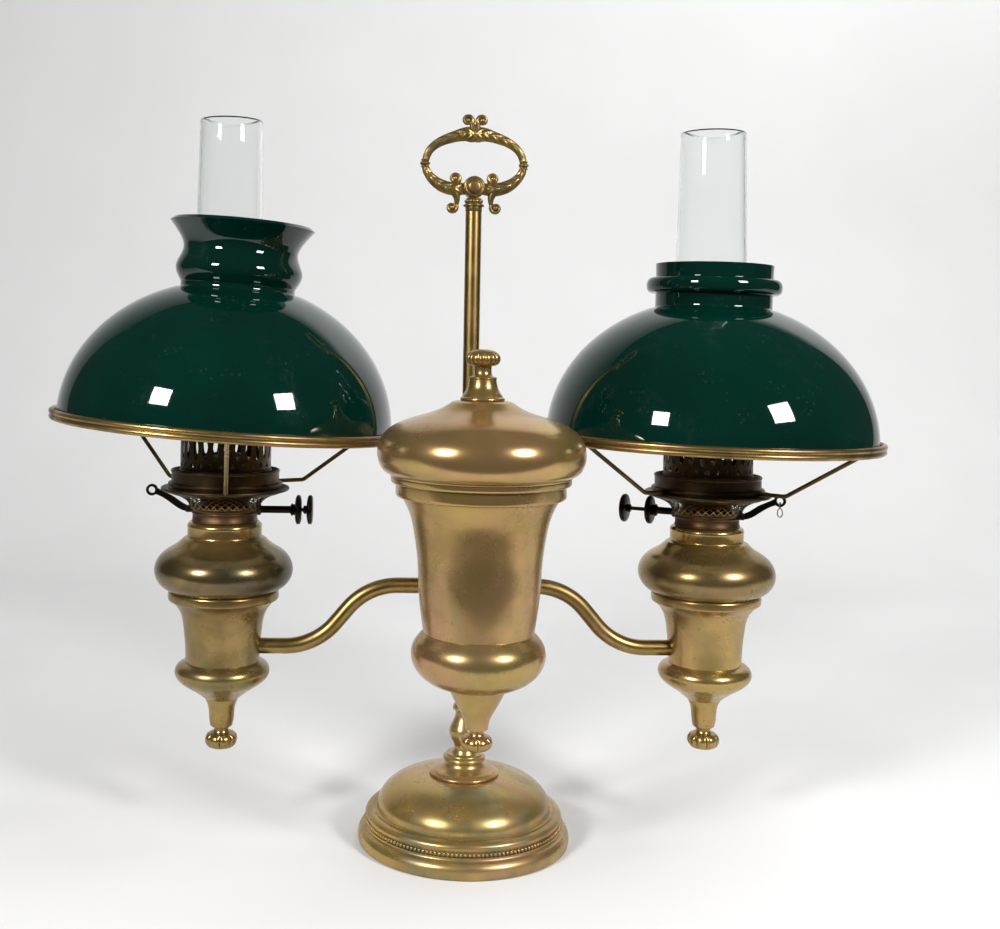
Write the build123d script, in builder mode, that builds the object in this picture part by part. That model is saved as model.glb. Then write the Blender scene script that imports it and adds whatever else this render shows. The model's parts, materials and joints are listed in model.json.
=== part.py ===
from build123d import *
import os
from math import atan2, cos, degrees, radians, sin, sqrt, tan

# Double student lamp, in millimetres. The origin is the centre of the base on the floor, +Z is up, +X is
# the right-hand burner's side and -Y is the tank's side, which is the front.

# Fits and walls
running_fit = 0.05          # radial gap of a shaft or sleeve that turns or slides
seat_gap = 0.1              # gap between two bodies that rest on each other
free_gap = 0.5              # gap round a piece that only has to pass
spun_wall = 1.1             # spun brass of founts, tank, lid and base
burner_wall = 0.8           # thin burner brass

# Base
base_radius = 81.5
base_band_height = 14.0
base_band_ledge = 5.8       # from the base's rim in to the step
base_step_radius = base_radius - base_band_ledge
base_step_height = 11.0
base_step_ledge = 9.0       # from the step's side in to the dome
dome_foot_radius = base_step_radius - base_step_ledge
dome_height = 25.6
dome_top_radius = 27.0
bead_size = 2.6
felt_thickness = 1.5
felt_margin = 4.5
weight_top_setback = 20.7   # from the dome's foot in to the weight's top edge
weight_top_radius = dome_foot_radius - weight_top_setback

# Stem and post
collar_flange_radius = 26.7
collar_height = 16.0
collar_ring_radius = 16.4
stem_height = 40.0
stem_bulb_radius = 12.0
stem_waist_radius = 7.1
stem_top_radius = 9.4
post_radius = 6.25
post_length = 386.0
stud_radius = 3.9
stud_tip_height = 4.0
nut_width = 13.0
nut_height = 6.5
nut_recess_radius = 11.0

# Handle
ferrule_radius = 7.2
ferrule_flange_radius = 8.1
ferrule_skirt = 6.0
ferrule_head = 4.4
post_spigot_radius = 3.0
hub_radius = 8.5
hub_depth = 12.0
boss_radius = 5.2
boss_pin_radius = 2.5
boss_head = 2.6
loop_half_width = 38.6
loop_rise = 18.0
loop_top_rise = 43.0
loop_side_thickness = 5.6
loop_top_thickness = 8.8
loop_root_thickness = 7.4
scroll_ball_radius = 4.9
side_ring_radius = 3.9

# Carriage on the post
arm_axis_height = 195.8     # the yoke's arm axis above the floor
stop_collar_radius = 13.0
stop_collar_height = 17.0
stop_collar_drop = 45.0     # from the arm axis down to the stop collar's foot
screw_radius = 3.0
screw_head_radius = 8.0
screw_head_thickness = 4.0
screw_neck = 4.0
yoke_radius = 15.0
yoke_height = 26.0
yoke_sleeve_radius = 8.6
yoke_sleeve_rise = 20.0
oil_chamber_radius = 12.5
socket_radius = 8.4
socket_reach = 26.0
socket_depth = 10.0
feed_bore_radius = 4.0
guide_ring_radius = 9.5
guide_bar_width = 8.0
guide_bar_grip = 4.0        # how far the bar reaches into the tank's collar
guide_height = 9.6
guide_drop = 2.0            # from the tank's rim down to the guide

# Arms
burner_span = 188.0         # from the post's axis to each burner's axis
arm_radius = 6.0
arm_bore_radius = 5.0
arm_drop = 47.3
arm_slope = 50.0
arm_bend_centre = 97.0
arm_bend_radius = 26.0
arm_entry_depth = 1.5

# Founts: heights count from the seam between bowl and body
fount_feed_rise = 10.9
fount_seam_radius = 28.2
fount_waist_radius = 31.9
fount_collar_radius = 42.2
fount_bulge_radius = 52.8
fount_neck_radius = 28.5
fount_mouth_radius = 24.3
fount_height = 106.6
bowl_bulge_radius = 36.1
bowl_tail_radius = 8.4
bowl_depth = 50.0
drip_knob_radius = 12.4
drip_knob_height = 14.0
drip_knob_neck_radius = 5.5
knob_petals = 8

# Tank: heights count from the seam between bowl and body
tank_setback = 94.0         # from the post's axis to the tank's axis
tank_seam_drop = 14.0       # from the arm axis down to the tank's seam
tank_seam_radius = 39.0
tank_belly_radius = 43.9
tank_collar_radius = 60.0
tank_rim_radius = 63.5
tank_height = 108.5
tank_bulge_radius = 47.3
tank_crease_radius = 20.8
tank_tail_radius = 8.0
tank_bowl_depth = 68.0
tank_floor_rise = 4.0
valve_pin_radius = 1.5
valve_pin_height = 3.0
tank_knob_radius = 11.4
tank_knob_height = 15.0
tank_knob_neck_radius = 5.0
lid_foot_radius = 63.2
lid_bulge_radius = 73.4
lid_bulge_rise = 17.9
lid_top_radius = 19.9
lid_height = 53.9
finial_foot_radius = 15.4
finial_height = 36.0
finial_neck_radius = 5.9
finial_knob_radius = 12.2
finial_ribs = 16

# Oil bottle and its valve
bottle_radius = 33.0
bottle_plate_radius = 60.5
bottle_neck_radius = 12.0
bottle_neck_height = 9.0
bottle_foot_gap = 1.0
bottle_mouth_radius = 6.0
valve_disc_radius = 8.0
valve_disc_thickness = 1.5
valve_stem_radius = 1.2
valve_travel = 3.8

# Burners: heights count from the top of the fount
burner_collar_radius = 24.9
burner_collar_height = 7.4
thread_depth = 7.0
basket_foot_radius = 26.8
basket_foot_rise = 11.4
basket_top_radius = 35.7
basket_rise = 21.0
lattice_count = 30
lattice_size = 2.1
plate_radius = 49.0
plate_thickness = 3.0
cup_radius = 41.0
cup_rise = 40.4
gallery_radius = 34.5
gallery_height = 50.0
gallery_slots = 20
chimney_shelf_rise = 15.0   # from the gallery's foot up to the shelf under the chimney
wick_spacing = 7.0          # from the burner's axis to each wick's middle
wick_width = 23.6
wick_thickness = 2.4
wick_gap = 0.2
wick_tube_wall = 0.4
wick_tube_top = 46.0
wick_tube_depth = 22.0
wick_length = 85.0
winder_rise = 9.4
winder_rod_radius = 1.5
winder_sleeve_radius = 2.8
winder_knob_radius = 11.25
winder_knob_thickness = 4.6
spur_radius = 4.8
spur_thickness = 2.0
cone_radius = 28.5
cone_height = 16.0
cone_slot_width = 5.6
extinguisher_height = 5.0
extinguisher_rise = 38.0
extinguisher_leg_reach = 16.0
lever_pivot_reach = 27.5
lever_pivot_rise = 9.5
lever_eye_reach = 56.0
lever_eye_rise = 23.6
lever_eye_radius = 4.45
lever_eye_bore = 2.5
lever_thickness = 2.4
lever_pin_radius = 1.2
lever_pin_length = 8.0
link_wire_radius = 0.45
link_ring_radius = 2.3
link_loop_length = 6.5

# Shade rings, shades and chimneys
ring_seat_inner_radius = 121.5
ring_bead_radius = 2.2
ring_seat_thickness = 1.4
ring_arm_radius = 1.6
ring_elbow_radius = 66.0
ring_hub_radius = 43.6
ring_hub_height = 2.6
shade_radius = 127.0
shade_rise = 110.0
shade_wall = 3.5
shade_gap = 0.9
neck_foot_rise = 102.0
chimney_base_radius = 32.6
chimney_base_height = 12.0
chimney_wall = 1.8
chimney_length = 269.0

# What differs between the two sides. Angles are in degrees, 0 towards +X.
sides = {
    "left": {
        "sign": -1,
        "winder_angle": 0.0,
        "sleeve_knob_reach": 56.3,
        "rod_knob_reach": 65.3,
        "ring_arm_angles": (-84.0, 28.0, 138.0),
        "ring_rise": 75.1,
        "ring_tilt": 3.8,
        "neck_outline": [
            [(43.8, 4.5), (46.5, 9.0), (48.5, 15.5), (46.5, 22.5), (43.8, 31.4), (47.0, 39.5), (55.4, 50.4)],
        ],
        "chimney_waist_radius": 25.8,
        "chimney_top_radius": 23.9,
    },
    "right": {
        "sign": 1,
        "winder_angle": 150.0,
        "sleeve_knob_reach": 46.0,
        "rod_knob_reach": 67.0,
        "ring_arm_angles": (-46.0, 82.0, 210.0),
        "ring_rise": 68.0,
        "ring_tilt": 1.1,
        "neck_outline": [
            [(45.0, 4.0), (45.0, 11.0)],
            [(45.0, 11.0), (50.8, 13.0), (52.1, 17.8), (50.8, 22.2), (45.0, 24.4)],
            [(45.0, 24.4), (45.4, 34.6)],
        ],
        "chimney_waist_radius": 27.4,
        "chimney_top_radius": 25.2,
    },
}

# Heights above the floor that follow from the sizes above
dome_foot_height = base_band_height + base_step_height
base_top = dome_foot_height + dome_height
stem_foot = base_top + collar_height
post_foot = stem_foot + stem_height
post_top = post_foot + post_length
stop_collar_foot = arm_axis_height - stop_collar_drop
yoke_foot = stop_collar_foot + stop_collar_height + seat_gap
fount_seam = arm_axis_height - arm_drop - fount_feed_rise
fount_top = fount_seam + fount_height
tank_seam = arm_axis_height - tank_seam_drop
tank_top = tank_seam + tank_height
lid_seat = tank_top + seat_gap
gallery_foot = basket_rise + plate_thickness
chimney_seat = gallery_foot + chimney_shelf_rise

post_plane = Plane.XY
tank_plane = Plane(origin=(0, -tank_setback, 0), x_dir=(1, 0, 0), z_dir=(0, 0, 1))


def raised(plane, height):
    """The same plane, higher along its own axis."""
    return plane.offset(height)


def half_section(plane):
    """The sketch plane through a turned piece's axis: x is the radius and y is the height."""
    return Plane(origin=plane.origin, x_dir=plane.x_dir, z_dir=-plane.y_dir)


def across(plane, height, angle):
    """A sketch plane square to the direction at this angle: x is sideways and y is up."""
    outwards = plane.x_dir * cos(radians(angle)) + plane.y_dir * sin(radians(angle))
    return Plane(origin=plane.origin + plane.z_dir * height, x_dir=plane.z_dir.cross(outwards), z_dir=outwards)


def upright(plane, angle):
    """The upright sketch plane along the direction at this angle: x is outwards and y is up."""
    outwards = plane.x_dir * cos(radians(angle)) + plane.y_dir * sin(radians(angle))
    return Plane(origin=plane.origin, x_dir=outwards, z_dir=outwards.cross(plane.z_dir))


def draw(stretches):
    """Joined stretches of an outline: two points are a straight line, more are one smooth curve."""
    for points in stretches:
        if len(points) == 2:
            Line(*points)
        else:
            Spline(*points)


def moved_in(stretches, wall):
    """The outline moved towards the axis by the wall. It runs upwards, and its ends are cut square."""
    path = [stretches[0][0]] + [point for points in stretches for point in points[1:]]
    normals = []
    for (r0, z0), (r1, z1) in zip(path, path[1:]):
        length = sqrt((r1 - r0) ** 2 + (z1 - z0) ** 2)
        normals.append(((z0 - z1) / length, (r1 - r0) / length))
    moved = []
    for index, (r, z) in enumerate(path):
        before = normals[max(index - 1, 0)]
        after = normals[min(index, len(normals) - 1)]
        mitre = wall / (1 + before[0] * after[0] + before[1] * after[1])
        step = (mitre * (before[0] + after[0]), mitre * (before[1] + after[1]))
        if index in (0, len(path) - 1):
            level = abs(before[0]) > abs(before[1])
            step = (wall / before[0], 0) if level else (0, wall / before[1])
        moved.append((r + step[0], z + step[1]))
    inner = []
    start = 0
    for points in stretches:
        inner.append(moved[start:start + len(points)])
        start += len(points) - 1
    return inner


def spin_shell(plane, stretches, wall):
    """Turn a thin shell round the plane's axis from its outer outline."""
    inner = moved_in(stretches, wall)
    with BuildSketch(half_section(plane)) as section:
        with BuildLine():
            draw(stretches)
            draw(inner)
            Line(stretches[0][0], inner[0][0])
            Line(stretches[-1][-1], inner[-1][-1])
        make_face()
    revolve(section.sketch, axis=Axis(plane.origin, plane.z_dir))


def spin_solid(plane, stretches, bore=0.0, mode=Mode.ADD):
    """Turn a solid round the plane's axis from its outer outline, down to the radius of its bore."""
    first = stretches[0][0]
    last = stretches[-1][-1]
    with BuildSketch(half_section(plane)) as section:
        with BuildLine():
            draw(stretches)
            Polyline(last, (bore, last[1]), (bore, first[1]), first)
        make_face()
    revolve(section.sketch, axis=Axis(plane.origin, plane.z_dir), mode=mode)


def rod(plane, radius, length, bore=0.0, mode=Mode.ADD):
    """A round bar or tube that starts on the plane and runs along its axis."""
    with BuildSketch(plane) as section:
        Circle(radius)
        if bore:
            Circle(bore, mode=Mode.SUBTRACT)
    extrude(section.sketch, amount=length, mode=mode)


def keep(builder, name):
    """Label a finished piece and write it."""
    builder.part.label = name
    export_step(builder.part, f"parts/{name}.step")


os.makedirs("parts", exist_ok=True)

# Base shell: rounded band, step, then the elliptic dome
base_outline = [
    [(base_radius - 1.6, 0), (base_radius, 3.2), (base_radius, base_band_height - 4.4),
     (base_radius - 2.4, base_band_height - 0.8), (base_step_radius + 0.6, base_band_height)],
    [(base_step_radius + 0.6, base_band_height), (base_step_radius, base_band_height + 1.2)],
    [(base_step_radius, base_band_height + 1.2), (base_step_radius, dome_foot_height - 1.6)],
    [(base_step_radius, dome_foot_height - 1.6), (base_step_radius - 2.4, dome_foot_height),
     (dome_foot_radius, dome_foot_height + 0.6)],
]
dome_sweep = (0, 18, 36, 54, 72, 90)
dome_points = [
    (dome_top_radius + (dome_foot_radius - dome_top_radius) * cos(radians(a)),
     dome_foot_height + 0.6 + (dome_height - 0.6) * sin(radians(a)))
    for a in dome_sweep
]
base_outline += [dome_points, [dome_points[-1], (stud_radius + free_gap, base_top)]]
with BuildPart() as base_shell:
    spin_shell(post_plane, base_outline, spun_wall)
keep(base_shell, "base_shell")

bead_height = base_band_height + 0.55 * base_step_height
with BuildPart() as base_beading:
    with BuildSketch(half_section(raised(post_plane, bead_height))):
        with Locations((base_step_radius, 0)):
            Circle(bead_size / 2)
            with Locations((-bead_size / 2, 0)):
                Rectangle(bead_size, bead_size, mode=Mode.SUBTRACT)
    revolve(axis=Axis.Z)
keep(base_beading, "base_beading")

weight_foot = felt_thickness
weight_top = base_top - spun_wall - free_gap
weight_radius = base_step_radius - 2 * spun_wall - free_gap
with BuildPart() as base_weight:
    spin_solid(post_plane, [
        [(weight_radius, weight_foot), (weight_radius, base_band_height)],
        [(weight_radius, base_band_height), (weight_top_radius, weight_top - dome_height / 2)],
        [(weight_top_radius, weight_top - dome_height / 2), (dome_top_radius - 4, weight_top)],
    ], bore=stud_radius + free_gap)
    rod(raised(post_plane, weight_foot), nut_recess_radius, stud_tip_height + nut_height - weight_foot + 0.8,
        mode=Mode.SUBTRACT)
keep(base_weight, "base_weight")

with BuildPart() as base_felt:
    rod(post_plane, base_radius - felt_margin, felt_thickness)
keep(base_felt, "base_felt")

with BuildPart() as base_nut:
    with BuildSketch(raised(post_plane, stud_tip_height + 0.8)):
        RegularPolygon(nut_width / 2, 6, major_radius=False)
        Circle(stud_radius + running_fit, mode=Mode.SUBTRACT)
    extrude(amount=nut_height)
keep(base_nut, "base_nut")

with BuildPart() as base_collar:
    spin_solid(raised(post_plane, base_top), [
        [(collar_flange_radius - 0.8, 0), (collar_flange_radius, 1.4), (collar_flange_radius - 1.4, 3.2)],
        [(collar_flange_radius - 1.4, 3.2), (collar_ring_radius + 2.2, 5.4), (collar_ring_radius - 2.0, 9.0),
         (collar_ring_radius - 1.0, collar_height - 4.4)],
        [(collar_ring_radius - 1.0, collar_height - 4.4), (collar_ring_radius, collar_height - 2.6),
         (collar_ring_radius - 2.2, collar_height)],
    ], bore=stud_radius + running_fit)
keep(base_collar, "base_collar")

with BuildPart() as stem:
    spin_solid(raised(post_plane, stem_foot), [
        [(stem_waist_radius + 2.6, 0), (stem_waist_radius + 0.9, 5.6), (stem_bulb_radius - 1.6, 11.0),
         (stem_bulb_radius, 16.2), (stem_bulb_radius - 2.0, 22.5), (stem_waist_radius + 0.4, 29.0),
         (stem_waist_radius, 31.6)],
        [(stem_waist_radius, 31.6), (stem_top_radius, 35.2), (stem_top_radius - 1.8, stem_height)],
    ], bore=stud_radius + running_fit)
keep(stem, "stem")

with BuildPart() as post:
    rod(raised(post_plane, post_foot), post_radius, post_length)
    rod(raised(post_plane, stud_tip_height), stud_radius, post_foot - stud_tip_height)
    rod(raised(post_plane, post_top), post_spigot_radius, ferrule_head - running_fit)
keep(post, "post")

# Handle: ferrule on the post's top, hub with a cross pin, and a loop of two mirrored halves
hub_height = post_top + ferrule_head + hub_radius
with BuildPart() as handle_ferrule:
    spin_solid(raised(post_plane, post_top - ferrule_skirt), [
        [(ferrule_radius, 0), (ferrule_radius, ferrule_skirt - 1.8)],
        [(ferrule_radius, ferrule_skirt - 1.8), (ferrule_flange_radius, ferrule_skirt - 0.6),
         (ferrule_radius - 0.4, ferrule_skirt + 1.0)],
        [(ferrule_radius - 0.4, ferrule_skirt + 1.0), (ferrule_radius, ferrule_skirt + 2.4),
         (ferrule_radius - 1.6, ferrule_skirt + ferrule_head)],
    ])
    rod(raised(post_plane, post_top - ferrule_skirt), post_radius + running_fit, ferrule_skirt, mode=Mode.SUBTRACT)
    rod(raised(post_plane, post_top), post_spigot_radius + running_fit, ferrule_head, mode=Mode.SUBTRACT)
keep(handle_ferrule, "handle_ferrule")

hub_plane = Plane(origin=(0, 0, hub_height), x_dir=(1, 0, 0), z_dir=(0, -1, 0))
lower_path = [(hub_radius - 2, 0), (hub_radius + 6, 1.6), (loop_half_width - 12, 3.4),
              (loop_half_width - 3.4, 8.6), (loop_half_width, loop_rise)]
upper_path = [(loop_half_width, loop_rise), (loop_half_width - 3.4, loop_rise + 10.4),
              (loop_half_width - 16, loop_rise + 19.6), (loop_half_width - 28.4, loop_rise + 25.2), (1.2, loop_rise + 23.0)]
lower_girth = (loop_root_thickness, loop_root_thickness, loop_side_thickness + 0.8, loop_side_thickness, loop_side_thickness)
upper_girth = (loop_side_thickness, loop_side_thickness + 0.6, loop_top_thickness - 1.4, loop_top_thickness,
               loop_top_thickness - 3)


def bent_bar(path, girths, sign):
    """A bar of changing girth that follows the path in the handle's own plane."""
    sections = []
    for index, ((x, y), girth) in enumerate(zip(path, girths)):
        x0, y0 = path[max(index - 1, 0)]
        x1, y1 = path[min(index + 1, len(path) - 1)]
        along = Vector(sign * (x1 - x0), 0, y1 - y0).normalized()
        place = Plane(origin=(sign * x, 0, hub_height + y), x_dir=(0, 1, 0), z_dir=along)
        with BuildSketch(place) as section:
            Circle(girth / 2)
        sections.append(section.sketch)
    loft(sections)


with BuildPart() as handle:
    rod(hub_plane.offset(-hub_depth / 2), hub_radius, hub_depth)
    for sign in (-1, 1):
        bent_bar(lower_path, lower_girth, sign)
        bent_bar(upper_path, upper_girth, sign)
        with Locations((sign * (scroll_ball_radius + 0.4), 0, hub_height + loop_top_rise + 9.2)):
            Sphere(scroll_ball_radius - 0.6)
        with Locations((sign * 14.6, 0, hub_height + 6.2), (sign * 16.8, 0, hub_height - 16.0)):
            Sphere(scroll_ball_radius - 0.4)
        with Locations((sign * loop_half_width, 0, hub_height + loop_rise)):
            Sphere(side_ring_radius)
    for sign in (-1, 1):
        bent_bar([(hub_radius - 3, -4), (hub_radius + 2.4, -8), (15.4, -13.4)], (5.6, 5.0, 4.4), sign)
        bent_bar([(3.0, loop_rise + 24.0), (4.4, loop_rise + 30.0), (scroll_ball_radius + 0.4, loop_top_rise + 8)],
                 (5.4, 4.6, 4.2), sign)
    rod(hub_plane.offset(-hub_depth), boss_pin_radius + running_fit, 2 * hub_depth, mode=Mode.SUBTRACT)
keep(handle, "handle")

with BuildPart() as handle_boss:
    rod(hub_plane.offset(-hub_depth / 2), boss_pin_radius, hub_depth)
    rod(hub_plane.offset(hub_depth / 2), boss_radius, boss_head)
    rod(hub_plane.offset(-hub_depth / 2 - boss_head), boss_radius, boss_head)
keep(handle_boss, "handle_boss")

# Stop collar, its clamp screw, and the yoke that turns on it
screw_height = stop_collar_foot + stop_collar_height / 2
with BuildPart() as stop_collar:
    rod(raised(post_plane, stop_collar_foot), stop_collar_radius, stop_collar_height)
    chamfer(stop_collar.edges().filter_by(GeomType.CIRCLE), length=1.2)
    rod(raised(post_plane, stop_collar_foot), post_radius + running_fit, stop_collar_height, mode=Mode.SUBTRACT)
    rod(across(post_plane, screw_height, 90), screw_radius + running_fit, 2 * stop_collar_radius, mode=Mode.SUBTRACT)
keep(stop_collar, "stop_collar")

screw_plane = across(post_plane, screw_height, 90)
with BuildPart() as clamp_screw:
    rod(screw_plane.offset(post_radius + 2 * seat_gap), screw_radius, stop_collar_radius + screw_neck - post_radius)
    with BuildSketch(screw_plane.offset(stop_collar_radius + screw_neck)):
        Circle(screw_head_radius)
        with PolarLocations(screw_head_radius + 0.8, 12):
            Circle(1.5, mode=Mode.SUBTRACT)
    extrude(amount=screw_head_thickness)
keep(clamp_screw, "clamp_screw")

tank_outline = [
    [(tank_seam_radius, 0), (tank_seam_radius + 2.1, 14.0), (tank_belly_radius - 1.0, 31.2),
     (tank_belly_radius, 50.2), (tank_belly_radius + 2.2, 66.2), (tank_belly_radius + 6.6, 84.2),
     (tank_collar_radius - 4.4, tank_height - 14.3)],
    [(tank_collar_radius - 4.4, tank_height - 14.3), (tank_collar_radius, tank_height - 11.3)],
    [(tank_collar_radius, tank_height - 11.3), (tank_collar_radius, tank_height - 4.3)],
    [(tank_collar_radius, tank_height - 4.3), (tank_rim_radius, tank_height - 2.6)],
    [(tank_rim_radius, tank_height - 2.6), (tank_rim_radius, tank_height)],
]
tank_base = raised(tank_plane, tank_seam)
feed_reach = tank_setback - tank_seam_radius
with BuildPart() as yoke:
    rod(raised(post_plane, yoke_foot), yoke_sleeve_radius, arm_axis_height + yoke_sleeve_rise - yoke_foot)
    rod(raised(post_plane, arm_axis_height - yoke_height / 2), yoke_radius, yoke_height)
    chamfer(yoke.edges().filter_by(GeomType.CIRCLE).sort_by(SortBy.RADIUS)[-2:], length=2)
    for angle in (0, 180):
        rod(across(post_plane, arm_axis_height, angle), socket_radius, socket_reach)
    rod(across(post_plane, arm_axis_height, -90), socket_radius, feed_reach)
    spin_solid(tank_base, tank_outline, mode=Mode.SUBTRACT)
    rod(raised(post_plane, arm_axis_height - yoke_height / 2 + 3), oil_chamber_radius, yoke_height - 6,
        bore=yoke_sleeve_radius, mode=Mode.SUBTRACT)
    for angle in (0, 180):
        arm_way = across(post_plane, arm_axis_height, angle)
        rod(arm_way.offset(socket_reach - socket_depth), arm_radius + running_fit, socket_depth, mode=Mode.SUBTRACT)
        rod(arm_way.offset(yoke_sleeve_radius), arm_bore_radius, socket_reach - yoke_sleeve_radius, mode=Mode.SUBTRACT)
    rod(across(post_plane, arm_axis_height, -90).offset(yoke_sleeve_radius), feed_bore_radius, feed_reach,
        mode=Mode.SUBTRACT)
    rod(raised(post_plane, yoke_foot), post_radius + running_fit, yoke_height * 3, mode=Mode.SUBTRACT)
keep(yoke, "yoke")

guide_foot = tank_top - guide_height - guide_drop
guide_bar_length = tank_setback - tank_collar_radius + guide_bar_grip
with BuildPart() as upper_guide:
    rod(raised(post_plane, guide_foot), guide_ring_radius, guide_height)
    with BuildSketch(raised(post_plane, guide_foot)):
        with Locations((0, -guide_bar_length / 2)):
            Rectangle(guide_bar_width, guide_bar_length)
    extrude(amount=guide_height)
    rod(raised(post_plane, guide_foot), post_radius + running_fit, guide_height, mode=Mode.SUBTRACT)
    spin_solid(tank_base, tank_outline, mode=Mode.SUBTRACT)
keep(upper_guide, "upper_guide")

# Arms: level out of the yoke, down in an S bend, and level into the fount
arm_run = arm_drop / tan(radians(arm_slope)) / 2
for name, side in sides.items():
    start = side["sign"] * (socket_reach - socket_depth)
    route = [
        (start, 0, arm_axis_height),
        (side["sign"] * (arm_bend_centre - arm_run), 0, arm_axis_height),
        (side["sign"] * (arm_bend_centre + arm_run), 0, arm_axis_height - arm_drop),
        (side["sign"] * (burner_span - fount_seam_radius + arm_entry_depth), 0, arm_axis_height - arm_drop),
    ]
    with BuildPart() as arm:
        with BuildLine():
            FilletPolyline(*route, radius=arm_bend_radius)
        with BuildSketch(Plane(origin=route[0], x_dir=(0, 1, 0), z_dir=(side["sign"], 0, 0))):
            Circle(arm_radius)
            Circle(arm_bore_radius, mode=Mode.SUBTRACT)
        sweep()
    keep(arm, f"{name}_arm")

# Tank: body with a floor and a valve pin, drip bowl and its flower knob
with BuildPart() as tank_body:
    spin_shell(tank_base, tank_outline, spun_wall)
    rod(tank_base.offset(tank_floor_rise), tank_seam_radius, spun_wall)
    rod(tank_base.offset(tank_floor_rise + spun_wall), valve_pin_radius, valve_pin_height)
    rod(across(tank_plane, arm_axis_height, 90), feed_bore_radius, tank_setback, mode=Mode.SUBTRACT)
keep(tank_body, "tank_body")

with BuildPart() as tank_bowl:
    spin_shell(tank_base, [
        [(tank_tail_radius, -tank_bowl_depth), (tank_tail_radius + 1.2, 6.0 - tank_bowl_depth),
         (tank_crease_radius - 8.0, -54.8), (tank_crease_radius - 3.2, -46.0), (tank_crease_radius, -39.8)],
        [(tank_crease_radius, -39.8), (tank_bulge_radius - 19.3, -37.6), (tank_bulge_radius - 11.3, -33.4),
         (tank_bulge_radius - 3.8, -26.5), (tank_bulge_radius, -16.2), (tank_bulge_radius - 1.7, -7.6),
         (tank_seam_radius, 0)],
    ], spun_wall)
    rod(tank_base.offset(-tank_bowl_depth), tank_tail_radius - spun_wall / 2, spun_wall)
keep(tank_bowl, "tank_bowl")


def flower_knob(plane, radius, height, neck_radius):
    """A hanging knob with petals round its rim; the plane is at the top of its neck."""
    spin_solid(plane.offset(-height), [
        [(radius - 7.4, 0), (radius - 2.4, 1.4), (radius, 0.36 * height), (radius - 1.8, 0.62 * height),
         (neck_radius + 0.4, 0.76 * height)],
        [(neck_radius + 0.4, 0.76 * height), (neck_radius, 0.86 * height), (neck_radius + 1.0, height)],
    ])
    with BuildSketch(plane.offset(-height)) as petals:
        with PolarLocations(radius + 0.9, knob_petals):
            Circle(1.9)
    extrude(petals.sketch, amount=0.74 * height, mode=Mode.SUBTRACT)


with BuildPart() as tank_drip_knob:
    flower_knob(tank_base.offset(-tank_bowl_depth), tank_knob_radius, tank_knob_height, tank_knob_neck_radius)
keep(tank_drip_knob, "tank_drip_knob")

# Lid with its finial, and the oil bottle that hangs from it
lid_plane = raised(tank_plane, lid_seat)
with BuildPart() as tank_lid:
    spin_shell(lid_plane, [
        [(lid_foot_radius, 0), (lid_bulge_radius - 4.6, 4.2), (lid_bulge_radius - 1.0, 10.5),
         (lid_bulge_radius, lid_bulge_rise), (lid_bulge_radius - 4.4, 30.0), (lid_bulge_radius - 16.4, 38.3),
         (lid_top_radius + 19.1, 44.3), (lid_top_radius + 9.6, 47.8), (lid_top_radius, lid_height)],
        [(lid_top_radius, lid_height), (finial_neck_radius, lid_height)],
    ], spun_wall)
keep(tank_lid, "tank_lid")

with BuildPart() as lid_finial:
    finial_plane = lid_plane.offset(lid_height)
    spin_solid(finial_plane, [
        [(finial_foot_radius + 1.6, 0), (finial_foot_radius + 1.6, 2.0)],
        [(finial_foot_radius + 1.6, 2.0), (finial_foot_radius, 3.4)],
        [(finial_foot_radius, 3.4), (finial_foot_radius - 4.2, 8.6), (finial_neck_radius + 3.7, 15.2)],
        [(finial_neck_radius + 3.7, 15.2), (finial_neck_radius + 1.3, 17.2)],
        [(finial_neck_radius + 1.3, 17.2), (finial_neck_radius, 21.0), (finial_neck_radius + 0.6, 24.6)],
        [(finial_neck_radius + 0.6, 24.6), (finial_knob_radius - 1.6, 26.2), (finial_knob_radius, 29.6),
         (finial_knob_radius - 2.4, 33.6), (finial_knob_radius - 8.0, finial_height)],
    ])
    with BuildSketch(finial_plane.offset(24.6)):
        with PolarLocations(finial_knob_radius + 0.6, finial_ribs):
            Circle(1.2)
    extrude(amount=finial_height - 24.6, mode=Mode.SUBTRACT)
keep(lid_finial, "lid_finial")

bottle_foot = tank_floor_rise + spun_wall + valve_pin_height + bottle_foot_gap
bottle_plane = tank_base.offset(bottle_foot)
bottle_length = tank_height + seat_gap - bottle_foot
with BuildPart() as oil_bottle:
    spin_shell(bottle_plane, [
        [(bottle_neck_radius, 0), (bottle_neck_radius, bottle_neck_height)],
        [(bottle_neck_radius, bottle_neck_height), (bottle_radius, bottle_neck_height + 8)],
        [(bottle_radius, bottle_neck_height + 8), (bottle_radius, bottle_length)],
    ], spun_wall)
    rod(bottle_plane, bottle_neck_radius, spun_wall, bore=bottle_mouth_radius)
    rod(lid_plane, lid_foot_radius - spun_wall - 4 * running_fit, spun_wall)
keep(oil_bottle, "oil_bottle")

valve_seat = bottle_foot + spun_wall
with BuildPart() as bottle_valve:
    rod(tank_base.offset(valve_seat + valve_travel), valve_disc_radius, valve_disc_thickness)
    pin_top = tank_floor_rise + spun_wall + valve_pin_height + seat_gap
    rod(tank_base.offset(pin_top), valve_stem_radius, valve_seat + valve_travel - pin_top)
keep(bottle_valve, "bottle_valve")

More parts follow.
